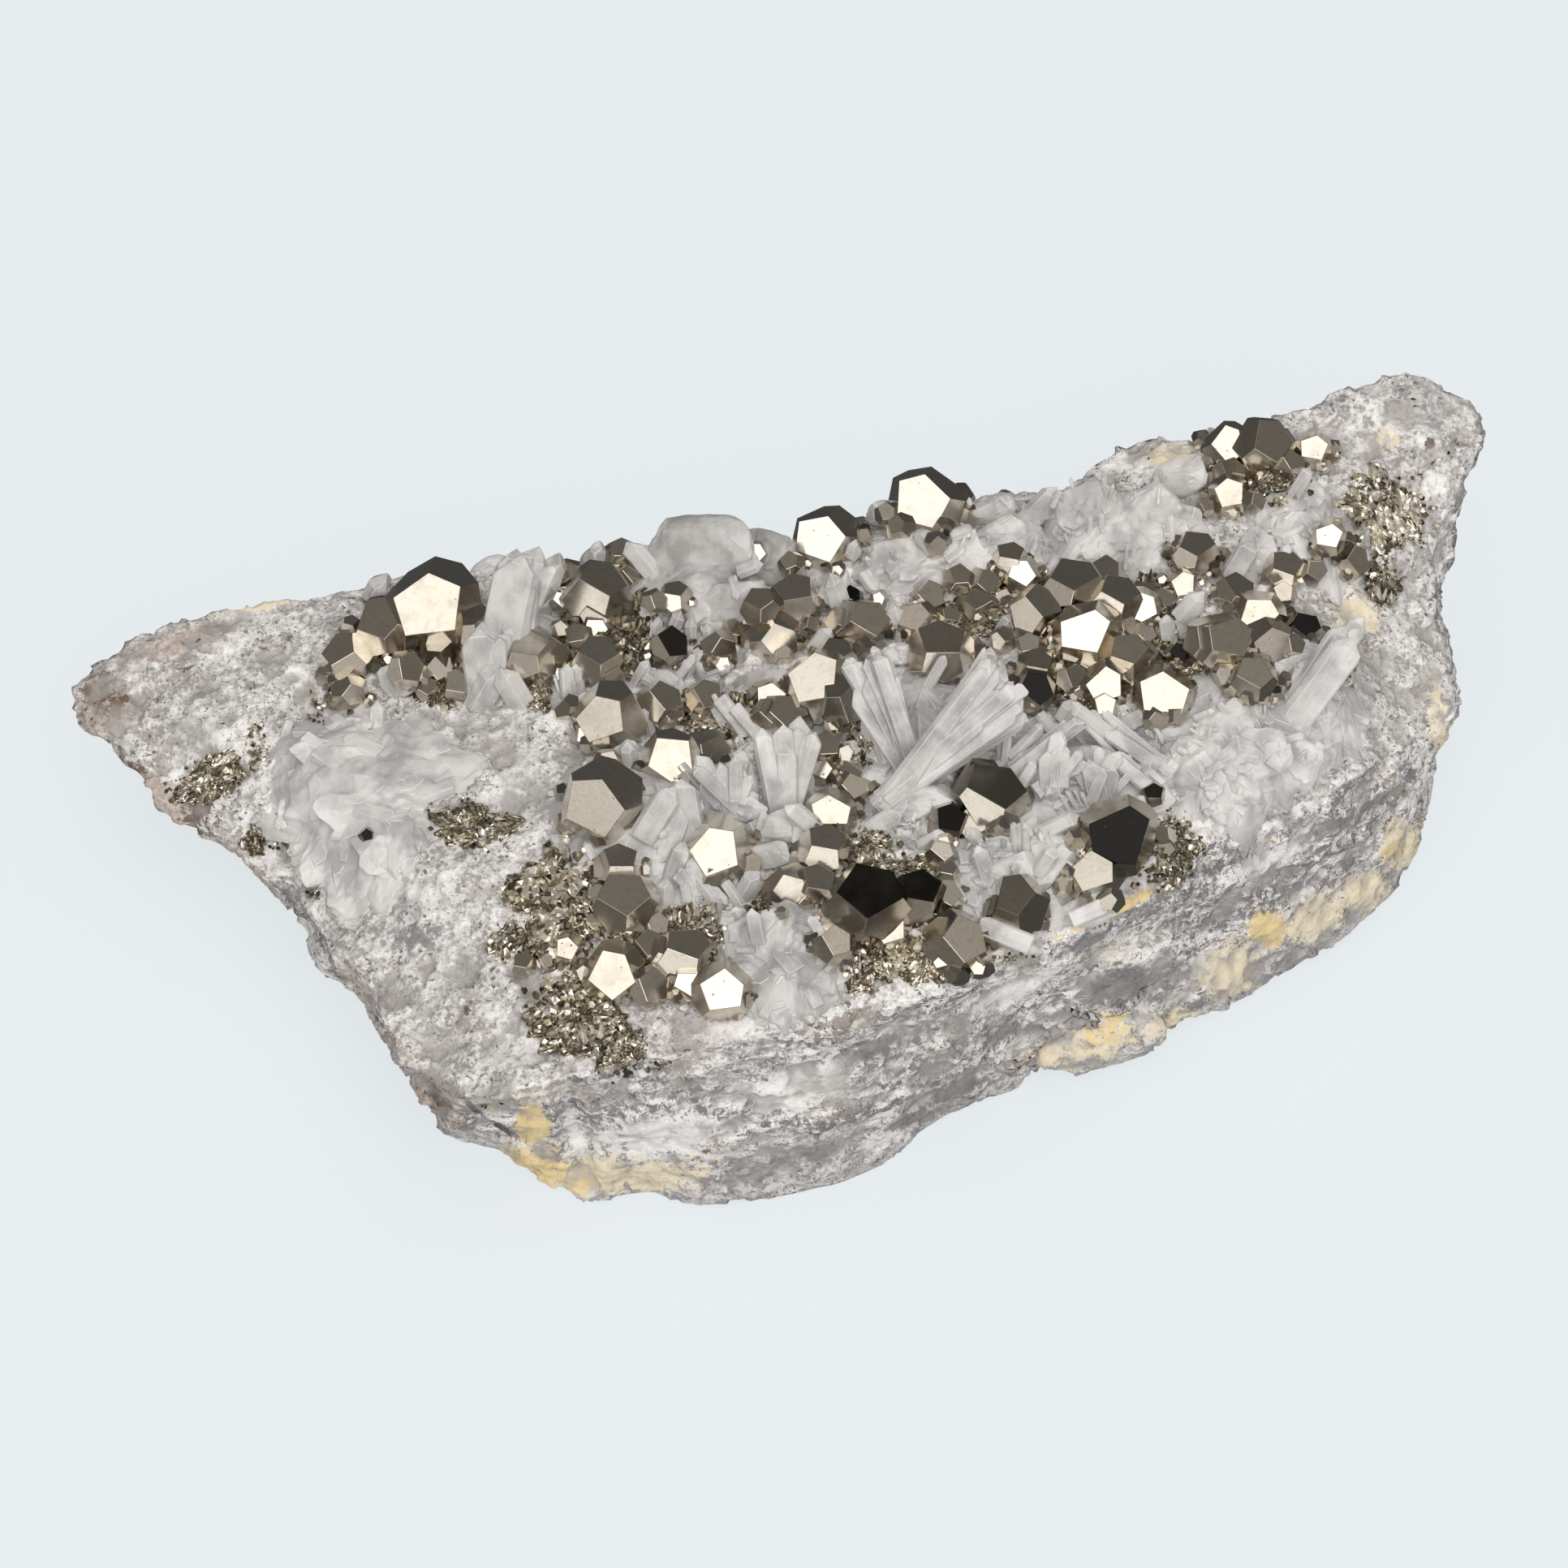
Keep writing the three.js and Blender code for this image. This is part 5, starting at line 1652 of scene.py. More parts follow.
    def _rim(self, slab: Ground, centre: Vector, swing: Matrix, size: Numbers) -> list[float]:
        """How far a crust reaches before the slab breaks off.

        Args:
            slab: what it follows.
            centre: its middle.
            swing: its turn in plan.
            size: half its width and depth in plan.

        Returns:
            The reach in each direction, in shares of its size.
        """
        reaches = []
        for step in range(self.rim_steps):
            angle = step / self.rim_steps * math.tau
            way = swing @ Vector((math.cos(angle) * size[0], math.sin(angle) * size[1]))
            level, reach = centre.z, 0.0
            for share in (part / self.rim_parts for part in range(1, self.rim_parts + 1)):
                height = slab.height(centre.x + way.x * share, centre.y + way.y * share)
                if height < level - self.most_step * MM:
                    break
                level, reach = height, share
            reaches.append(reach)
        after = reaches[1:] + reaches[:1]
        before = reaches[-1:] + reaches[:-1]
        least = [min(three) for three in zip(before, reaches, after)]
        return [reach if reach == 1.0 else reach * self.rim_room for reach in least]

    def build_prisms(self, ground: Ground, material: Material) -> None:
        """Makes the large prisms.

        Args:
            ground: what they stand on.
            material: clear quartz.
        """
        spray = Assembly()
        for right, down, length, width, heading, lean, flatness in self.prisms:
            dice = random.Random(right * 17 + down * 5)
            centre = ground.raised(right, down, (length * 0.12 + width * 0.3) * self.proud * MM)
            axes = VIEW.pointing(heading, lean, dice.uniform(-self.prism_roll, self.prism_roll))
            self._prism(spray, dice, (length, width, flatness), centre, axes)
        for sheaf in self.sheaves:
            self._sheaf(spray, ground, sheaf)
        finished(f"quartz_{self.name}_prisms", spray.mesh, material)

    def _prism(
        self, spray: Assembly, dice: random.Random, sizes: tuple[float, float, float], centre: Vector, axes: Matrix
    ) -> None:
        """Adds one prism.

        Args:
            spray: where it goes.
            dice: the source of its irregularity.
            sizes: its length and width in millimetres, and its flatness.
            centre: its middle.
            axes: its directions.
        """
        length, width, flatness = sizes
        body = quartz_prism(length * MM, width * MM, flatness, dice)
        lip = body.faces.layers.float.new("lip")
        for face in break_edges(body, min(self.edge, width * self.edge_share) * MM):
            face[lip] = 1.0
        spray.add(body, Matrix.Translation(centre) @ axes.to_4x4(), dice.random())
        body.free()

    def _sheaf(self, spray: Assembly, ground: Ground, sheaf: Numbers) -> None:
        """Adds blades that spread from one root.

        Args:
            spray: where they go.
            ground: what they stand on.
            sheaf: its row.
        """
        right, down, length, width, first, last, count, lean = sheaf
        dice = random.Random(right * 7 + down * 3)
        for number in range(count):
            heading = first + (last - first) * (number + dice.uniform(0.2, 0.8)) / count
            flatness = dice.uniform(*self.sheaf_flatness)
            sizes = (length * dice.uniform(*self.sheaf_length), width * dice.uniform(*self.sheaf_width), flatness)
            out = lean + dice.uniform(-self.sheaf_lean, self.sheaf_lean)
            axes = VIEW.pointing(heading, out, dice.uniform(-self.sheaf_roll, self.sheaf_roll))
            aside, ahead = (dice.uniform(-1, 1) * width * self.sheaf_foot for _ in range(2))
            root = ground.raised(right + aside, down + ahead, 0)
            self._prism(spray, dice, sizes, root + axes.col[2] * (sizes[0] * self.sheaf_rise * MM), axes)

    def build_points(self, ground: Ground, material: Material) -> None:
        """Makes the small blades and points.

        Args:
            ground: what they stand on.
            material: clear quartz.
        """
        points = Assembly()
        dice = random.Random(self.name)
        for right, down, across, along, count, length, slim, heading, spread in self.points:
            for _ in range(round(count * self.point_share)):
                angle, reach = dice.uniform(0, math.tau), math.sqrt(dice.random())
                spot = (right + math.cos(angle) * reach * across, down + math.sin(angle) * reach * along)
                met = ground.seen(*spot)
                if met is None or met[1].z < self.point_upward:
                    continue
                size = length * dice.uniform(*self.point_size) * MM
                width = size * slim * dice.uniform(*self.point_width)
                body = quartz_prism(size, width, dice.uniform(*self.point_flatness), dice)
                way = dice.gauss(heading, spread)
                axes = VIEW.pointing(way, dice.uniform(*self.point_lean), dice.uniform(*self.point_roll))
                place = Matrix.Translation(met[0] + met[1] * size * self.point_rise) @ axes.to_4x4()
                points.add(body, place, dice.random())
                body.free()
        finished(f"quartz_{self.name}_points", points.mesh, material)


QUARTZ_PATCHES: Sequence[QuartzPatch] = (
    QuartzPatch(
        "left",
        beds=((440, 972, 122, 104, -8, 2.6), (420, 930, 80, 50, 10, 3.0), (470, 1030, 70, 60, 20, 2.8)),
        lumps=(
            (400, 930, 46, 22, 8, 1.1, -20, 3), (440, 1006, 52, 26, -8, 1.1, -20, 3),
            (398, 1056, 40, 22, 48, 1.0, -20, 3), (482, 1046, 42, 24, 30, 1.0, -20, 3),
            (492, 838, 32, 22, 20, 1.9, 10, 4),
        ),
        prisms=((464, 892, 5.2, 1.6, 88, -6, 0.5), (351, 905, 4.2, 1.2, 72, -10, 0.5)),
        proud=-0.12, mosaic_length=(3.0, 7.0), mosaic_cover=0.55, mosaic_tilt=5, mosaic_proud=0.22, block_relief=0.25,
    ),
    QuartzPatch(
        "back_left",
        beds=((632, 800, 62, 56, 0, 4.5),),
        lumps=((600, 702, 36, 15, 22, 2.6, 10, 2.6), (508, 716, 30, 12, 20, 2.4, 20, 3)),
        prisms=(
            (681, 712, 6.4, 2.6, 72, 22, 0.8), (600, 846, 6, 3.0, 60, 25, 0.7), (632, 850, 6, 2.8, 120, 25, 0.7),
            (470, 722, 4, 3, 60, 30, 0.8),
        ),
        sheaves=((628, 790, 11.5, 4.0, 62, 84, 9, 16), (606, 846, 8, 3.0, 70, 106, 6, 16)),
        points=((700, 838, 40, 20, 14, 2.6, 0.3, 95, 18), (620, 850, 50, 20, 12, 2.6, 0.45, 90, 40)),
    ),
    QuartzPatch(
        "back",
        beds=((862, 736, 92, 44, 8, 4.5),),
        lumps=(
            (852, 689, 92, 52, 4, 3.4, 30, 2.8), (946, 686, 48, 34, -10, 3.2, 30, 2.6),
            (892, 748, 62, 36, 32, 2.6, 28, 3), (790, 690, 26, 18, 60, 2.0, 25, 2.5),
            (938, 843, 38, 21, 20, 1.5, 25, 3.2), (905, 862, 22, 14, 60, 1.4, 25, 3),
            (800, 765, 34, 16, 70, 1.6, 25, 3), (815, 838, 26, 14, -30, 1.3, 25, 3),
            (725, 690, 15, 10, 55, 1.4, 20, 2.5),
        ),
        prisms=(
            (794, 696, 7.0, 2.3, 130, 18, 0.9), (736, 684, 3.6, 1.7, 80, 22, 0.9), (808, 772, 3.0, 1.6, 85, 22, 0.9),
            (832, 770, 3.8, 1.5, 68, 20, 0.9), (852, 776, 3.2, 1.5, 92, 22, 0.9), (874, 784, 3.0, 1.2, 100, 20, 0.9),
            (865, 832, 3.4, 0.7, 105, 18, 1), (866, 842, 4.2, 0.8, 20, 14, 1), (885, 828, 3.0, 0.9, 22, 15, 1),
            (844, 824, 4.2, 0.9, 52, 15, 1), (856, 818, 3.6, 0.8, 62, 15, 1), (838, 852, 3.0, 1.1, 92, 20, 1),
            (798, 890, 3.2, 1.0, 108, 20, 0.8), (790, 830, 3.6, 1.3, 60, 22, 1), (812, 846, 4, 1.2, -30, 22, 1),
            (700, 842, 4.6, 1.6, 92, 20, 0.6), (712, 838, 4.2, 1.4, 96, 20, 0.6), (905, 884, 5.4, 1.8, -52, 18, 0.5),
            (888, 880, 4.6, 1.6, -60, 18, 0.5), (922, 892, 5, 1.6, -50, 18, 0.5), (926, 700, 3.2, 1.6, 20, 20, 0.8),
        ),
        points=((850, 830, 50, 24, 20, 2.0, 0.3, 80, 45), (840, 780, 40, 12, 10, 2.2, 0.4, 90, 30)),
        smoky=True, mosaic_cover=0.25, mosaic_proud=0.3,
    ),
    QuartzPatch(
        "back_centre",
        beds=((1190, 700, 132, 44, 4, 4.6), (1380, 668, 112, 52, 14, 5)),
        lumps=(
            (1082, 634, 22, 18, 40, 2.0, 30, 2.6), (1110, 690, 56, 34, 10, 2.6, 30, 2.8),
            (1178, 690, 50, 36, 30, 2.6, 30, 2.8), (1248, 672, 54, 36, 20, 2.8, 30, 2.8),
            (1330, 645, 62, 42, 30, 3.0, 30, 2.8), (1404, 640, 54, 44, 60, 3.0, 30, 2.8),
            (1030, 728, 28, 20, 60, 1.8, 25, 3), (1100, 760, 24, 16, 100, 1.6, 25, 3),
            (1450, 590, 40, 24, 20, 2.0, 30, 2.6), (1220, 630, 36, 18, 20, 2.0, 30, 2.6),
            (1460, 770, 26, 22, 40, 1.8, 25, 3), (1395, 700, 40, 24, 40, 2, 25, 3),
        ),
        prisms=(
            (1051, 682, 3.8, 1.8, 76, 22, 0.8), (1275, 634, 8.5, 2.8, 47, 20, 0.5), (1302, 614, 2.4, 0.7, 62, 15, 1),
            (1343, 648, 2.6, 0.6, 88, 18, 1), (1357, 645, 2.6, 0.6, 90, 18, 1), (1388, 684, 3.2, 0.5, 86, 18, 1),
            (1397, 680, 2.8, 0.5, 86, 18, 1), (1443, 654, 4.0, 0.9, 92, 20, 0.7), (1268, 672, 2.4, 0.5, 72, 18, 1),
            (1185, 672, 2.2, 0.5, 66, 18, 1), (1248, 716, 3.4, 1.4, 100, 22, 1), (1238, 770, 3, 1.4, 60, 22, 0.8),
            (1106, 764, 4.4, 1.8, 108, 22, 0.7), (1030, 725, 4, 2.4, 110, 28, 0.7), (1040, 755, 4, 2.0, 60, 28, 0.7),
            (1320, 700, 3, 1.4, 40, 22, 0.8), (1365, 705, 3, 1.4, 120, 22, 0.8), (1440, 776, 4, 1.8, 100, 28, 0.7),
            (1470, 745, 4.4, 2.4, 50, 28, 0.7), (1478, 790, 3.4, 1.6, 80, 25, 0.8),
            (1010, 790, 4.4, 2.0, 50, 30, 0.6),
        ),
        points=(
            (1240, 650, 110, 34, 40, 1.8, 0.35, 75, 50), (1370, 640, 100, 45, 30, 2.0, 0.25, 88, 14),
            (1440, 780, 34, 34, 20, 2.0, 0.4, 80, 60), (1150, 755, 110, 24, 34, 2.0, 0.4, 80, 60),
            (1130, 690, 70, 30, 12, 2.4, 0.35, 70, 40),
        ),
        mosaic_cover=0.6, mosaic_proud=0.7,
    ),
    QuartzPatch(
        "right_back",
        beds=((1596, 655, 62, 64, 20, 4.0),),
        lumps=(
            (1600, 620, 34, 26, 30, 2.0, 30, 2.8), (1545, 680, 36, 26, 50, 2.0, 30, 2.8),
            (1610, 670, 30, 24, 80, 2, 30, 3),
        ),
        prisms=((1600, 600, 5, 1.6, 60, 20, 0.5), (1530, 690, 5, 2.6, 60, 24, 0.5), (1580, 690, 4, 1.6, 70, 20, 0.6)),
        points=((1570, 655, 66, 55, 24, 1.9, 0.35, 80, 40),),
        mosaic_cover=0.5, mosaic_proud=0.6,
    ),
    QuartzPatch(
        "centre",
        beds=((800, 1004, 130, 84, 4, 3.6),),
        lumps=(
            (820, 1034, 54, 36, 66, 2.0, 22, 3), (966, 1020, 48, 21, -10, 1.8, 22, 2.6),
            (950, 1052, 28, 16, 10, 1.4, 22, 3), (905, 990, 46, 20, -6, 1.6, 22, 2.6),
            (960, 900, 20, 10, 0, 1.2, 22, 2.6), (770, 935, 26, 22, 80, 1.6, 25, 2.6),
            (790, 1000, 36, 22, 60, 1.6, 22, 3),
        ),
        prisms=(
            (993, 944, 7.2, 1.8, 92, 18, 0.6), (956, 970, 3.2, 2.0, 70, 24, 0.6), (906, 958, 6.2, 2.2, 74, 20, 0.5),
            (925, 962, 5, 1.5, 102, 18, 0.6), (863, 970, 6.4, 1.0, -50, 14, 1), (882, 966, 5.6, 1.8, -46, 14, 0.5),
            (872, 960, 6.0, 1.4, -46, 14, 0.6), (829, 988, 4.0, 0.7, 62, 14, 1), (836, 990, 4.0, 0.6, 60, 14, 1),
            (845, 990, 6, 3.4, 100, 20, 0.4), (812, 1000, 7, 3.2, 58, 18, 0.5), (776, 930, 3.4, 1.8, 95, 28, 0.8),
            (985, 1005, 4.4, 2.4, 140, 30, 0.6), (868, 1093, 4.2, 1.3, -50, 18, 0.7),
            (882, 1100, 3.8, 1.1, -46, 18, 0.7), (905, 1104, 3.6, 1.1, -55, 18, 0.7),
            (846, 1104, 3.2, 1.1, 100, 18, 0.8), (820, 1100, 3.6, 1.6, 88, 20, 0.7), (835, 1062, 5, 2.4, 70, 22, 0.6),
            (1052, 922, 2.4, 1.6, 10, 20, 0.8), (925, 1090, 4, 2.2, 60, 25, 0.7),
        ),
        sheaves=(
            (968, 985, 8.4, 2.2, 72, 102, 9, 14), (900, 1000, 6.5, 1.8, 60, 140, 9, 14),
            (830, 1040, 6.5, 2.4, 50, 110, 8, 8), (860, 1105, 4, 1.4, 80, 140, 6, 14),
        ),
        points=(
            (880, 1100, 56, 26, 26, 1.9, 0.35, 95, 50), (950, 1020, 44, 24, 20, 2.0, 0.4, 60, 60),
            (760, 1040, 90, 30, 14, 2.2, 0.45, 90, 70),
        ),
    ),
    QuartzPatch(
        "fan",
        beds=((1140, 920, 80, 95, -10, 4.4),),
        lumps=(
            (1120, 990, 62, 26, 12, 2.0, 20, 2.6), (1084, 912, 56, 26, 98, 2.2, 22, 2.6),
            (1102, 806, 32, 14, 8, 1.8, 20, 2.6), (1150, 945, 70, 36, 44, 2.2, 22, 3),
        ),
        prisms=(
            (1216, 822, 5, 2.2, 78, 20, 0.4), (1092, 1012, 4.4, 2.2, 30, 25, 0.4), (1150, 835, 6, 1.4, 60, 18, 0.4),
            (1240, 926, 4, 0.9, 84, 18, 0.8), (1232, 930, 3.4, 0.8, 90, 18, 0.8),
        ),
        sheaves=(
            (1100, 980, 18.5, 1.7, 34, 58, 46, 10), (1140, 950, 13, 1.5, 28, 54, 30, 13),
            (1118, 940, 13, 1.6, 98, 124, 26, 8), (1100, 930, 10, 1.8, 84, 114, 16, 14),
            (1165, 880, 7, 1.2, 40, 56, 9, 14),
        ),
        points=((1110, 1015, 60, 16, 16, 1.8, 0.35, 80, 50), (1075, 830, 24, 30, 14, 2.0, 0.4, 100, 40)),
        sheaf_flatness=(0.3, 0.6),
    ),
    QuartzPatch(
        "spray",
        beds=((1335, 955, 118, 54, -4, 3.6),),
        lumps=(
            (1330, 955, 74, 34, -8, 1.8, 20, 2.6), (1400, 965, 50, 26, -30, 1.8, 20, 3),
            (1275, 975, 34, 22, 40, 1.6, 22, 3),
        ),
        prisms=(
            (1290, 916, 9.4, 1.4, 35, 12, 0.8), (1300, 917, 6.4, 0.8, 45, 12, 1),
            (1371, 906, 11.4, 1.6, 145, 12, 0.8), (1356, 912, 5.8, 0.8, 134, 12, 1),
            (1316, 874, 2.8, 2.1, 60, 22, 0.8), (1266, 913, 5.2, 1.2, 46, 14, 0.8),
            (1290, 893, 2.9, 1.3, -52, 14, 0.7), (1280, 930, 7, 2.2, 38, 14, 0.5), (1394, 922, 7, 2.0, 146, 14, 0.5),
            (1385, 893, 3.0, 0.7, -12, 14, 1), (1402, 886, 3.4, 1.8, 24, 22, 0.7),
            (1300, 1018, 4.4, 1.6, 26, 18, 0.5), (1314, 992, 2.9, 0.5, 118, 14, 1), (1322, 988, 3.1, 0.5, 120, 14, 1),
            (1330, 986, 2.8, 0.4, 116, 14, 1), (1339, 990, 2.9, 0.5, 118, 14, 1), (1347, 994, 2.4, 0.4, 122, 14, 1),
            (1368, 980, 4.4, 1.2, 126, 16, 0.7), (1352, 968, 3.6, 1.6, 100, 22, 0.7),
            (1392, 950, 6, 1.6, 140, 14, 0.6), (1262, 960, 5, 1.6, 60, 18, 0.6), (1310, 950, 5, 2.4, 20, 14, 0.4),
            (1250, 945, 4.4, 1.4, 50, 16, 0.7),
        ),
        sheaves=(
            (1248, 955, 9.5, 1.0, 34, 48, 7, 12), (1440, 945, 10.5, 1.1, 138, 152, 8, 10),
            (1350, 985, 6, 2.2, 40, 130, 8, 14), (1300, 970, 6, 1.8, 50, 100, 6, 14),
        ),
        points=((1290, 985, 50, 18, 18, 2.0, 0.3, 70, 60), (1350, 940, 50, 24, 12, 2.2, 0.3, 60, 60)),
    ),
    QuartzPatch(
        "right",
        beds=((1545, 900, 118, 96, 16, 4.4), (1620, 850, 60, 70, 30, 3.8), (1500, 950, 60, 60, 10, 3.8)),
        lumps=(
            (1600, 850, 76, 30, 52, 2.0, 22, 3), (1480, 890, 40, 26, 10, 2.0, 22, 3),
            (1530, 940, 60, 34, 20, 1.8, 22, 3), (1590, 950, 44, 30, 60, 1.8, 22, 3),
            (1470, 960, 44, 26, 30, 1.6, 22, 3),
        ),
        prisms=(
            (1632, 810, 6, 1.6, 52, 12, 0.6), (1640, 850, 3.6, 1.0, -42, 14, 0.8), (1665, 780, 5, 2.4, 60, 30, 0.5),
        ),
        sheaves=((1600, 872, 13, 3.0, 52, 58, 3, 8),),
        points=((1540, 920, 100, 70, 60, 2.0, 0.35, 50, 50), (1440, 905, 30, 14, 12, 1.8, 0.4, 90, 50)),
        mosaic_tilt=8, mosaic_proud=0.6,
    ),
    QuartzPatch(
        "front",
        beds=((970, 1186, 84, 62, -6, 4.6),),
        lumps=(
            (965, 1170, 74, 46, 150, 2.2, 8, 2.6), (1010, 1200, 46, 32, 30, 1.6, 8, 2.6),
            (935, 1214, 44, 30, 160, 1.6, 8, 2.6),
        ),
        prisms=((930, 1140, 4, 1.6, 100, 20, 0.5), (1010, 1150, 4.4, 1.2, 120, 14, 0.5)),
        points=((960, 1190, 80, 44, 14, 2.0, 0.42, 90, 50),),
        smoky=True, mosaic_cover=0.5, mosaic_proud=0.35, mosaic_tilt=7,
    ),
    QuartzPatch(
        "front_right",
        beds=((1275, 1075, 146, 66, 12, 3.8),),
        lumps=(
            (1226, 1082, 42, 24, 20, 1.8, 22, 2.6), (1338, 1124, 48, 22, 24, 1.8, 22, 3),
            (1286, 1044, 24, 14, 30, 1.3, 22, 2.6), (1300, 1086, 30, 22, 50, 1.5, 22, 3),
            (1240, 1155, 46, 16, -14, 1.4, 22, 3), (1130, 1160, 14, 12, 80, 1.3, 25, 3),
            (1390, 1000, 30, 16, 30, 1.4, 22, 3),
        ),
        prisms=(
            (1236, 1150, 6.5, 2.2, 158, -20, 0.3), (1250, 1036, 4.2, 0.7, 96, 18, 1),
            (1257, 1038, 4.4, 0.6, 93, 18, 1), (1264, 1042, 3.8, 0.7, 92, 18, 1), (1304, 1017, 4.8, 1.7, 27, 18, 0.6),
            (1178, 1094, 3.8, 0.9, -58, 16, 0.8), (1348, 1012, 6.4, 2.2, 40, 16, 0.6),
            (1290, 1060, 4, 2, 60, 30, 0.6), (1210, 1060, 4, 2, 110, 28, 0.6), (1345, 1122, 4.6, 1.8, 24, 6, 0.4),
            (1150, 1034, 3.4, 1.6, 30, 28, 0.8), (1200, 1030, 3, 1.4, 130, 28, 0.8),
        ),
        points=(
            (1240, 1050, 90, 34, 60, 1.7, 0.38, 85, 60), (1140, 1030, 50, 18, 30, 1.6, 0.4, 80, 60),
            (1300, 1080, 50, 24, 16, 2.0, 0.4, 60, 60), (1200, 1100, 34, 24, 14, 1.8, 0.4, 90, 60),
        ),
    ),
)

# Granular pyrite by patch: middle in the picture, half sizes in dots, turn, grade, and share of bright grains
GRAIN_PATCHES: dict[str, Rows] = {
    "far_left": (
        (262, 960, 48, 22, 12, Grade.FINE, 0.3), (317, 912, 12, 26, 0, Grade.FINE, 0.4),
        (312, 1044, 13, 16, 20, Grade.FINE, 0.35), (343, 1043, 9, 4, 10, Grade.FINE, 0.1),
        (387, 1102, 8, 7, 0, Grade.FINE, 0.4), (390, 865, 12, 10, 0, Grade.FINE, 0.3),
        (392, 885, 14, 7, -20, Grade.FINE, 0.3),
    ),
    "back_left": ((545, 835, 40, 34, 0, Grade.MEDIUM, 0.3), (662, 856, 18, 24, 20, Grade.FINE, 0.3)),
    "left_middle": ((585, 1018, 52, 24, -20, Grade.FINE, 0.3),),
    "front_left": (
        (690, 1100, 54, 60, 50, Grade.COARSE, 0.5), (625, 1160, 22, 18, 0, Grade.MEDIUM, 0.4),
        (690, 1160, 40, 24, 10, Grade.MEDIUM, 0.35),
    ),
    "front_middle": ((845, 1160, 44, 38, 10, Grade.MEDIUM, 0.3), (790, 1150, 40, 20, 0, Grade.MEDIUM, 0.35)),
    "front_left_low": (
        (705, 1250, 56, 38, -20, Grade.MEDIUM, 0.35), (762, 1300, 28, 30, 0, Grade.MEDIUM, 0.3),
        (810, 1314, 16, 5, 10, Grade.FINE, 0.2),
    ),
    "front_right": (
        (1074, 1188, 40, 26, 8, Grade.MEDIUM, 0.4), (1142, 1182, 34, 22, 8, Grade.MEDIUM, 0.4),
        (1040, 1135, 32, 26, -10, Grade.COARSE, 0.8), (1072, 1046, 32, 24, 10, Grade.MEDIUM, 0.5),
        (1240, 1180, 28, 5, 4, Grade.FINE, 0.4), (935, 1114, 18, 16, 0, Grade.FINE, 0.05),
    ),
    "right_rim": ((1440, 1050, 46, 34, 50, Grade.FINE, 0.25),),
    "right_back": (
        (1708, 632, 50, 46, 30, Grade.MEDIUM, 0.6), (1704, 717, 24, 18, 0, Grade.FINE, 0.3),
        (1651, 827, 20, 18, 0, Grade.MEDIUM, 0.4), (1745, 665, 12, 12, 0, Grade.FINE, 0.4),
    ),
    "centre": (
        (1040, 860, 22, 44, 0, Grade.MEDIUM, 0.9), (1060, 930, 22, 20, 0, Grade.MEDIUM, 0.4),
        (900, 890, 50, 22, 0, Grade.MEDIUM, 0.2), (1200, 760, 60, 24, 0, Grade.MEDIUM, 0.2),
        (1420, 760, 50, 40, 0, Grade.MEDIUM, 0.2), (1460, 820, 50, 20, 0, Grade.MEDIUM, 0.15),
        (1340, 830, 60, 40, 0, Grade.MEDIUM, 0.2), (1560, 600, 50, 20, 0, Grade.MEDIUM, 0.2),
        (750, 780, 60, 50, 0, Grade.MEDIUM, 0.15), (1100, 1070, 60, 14, 0, Grade.FINE, 0.3),
    ),
}


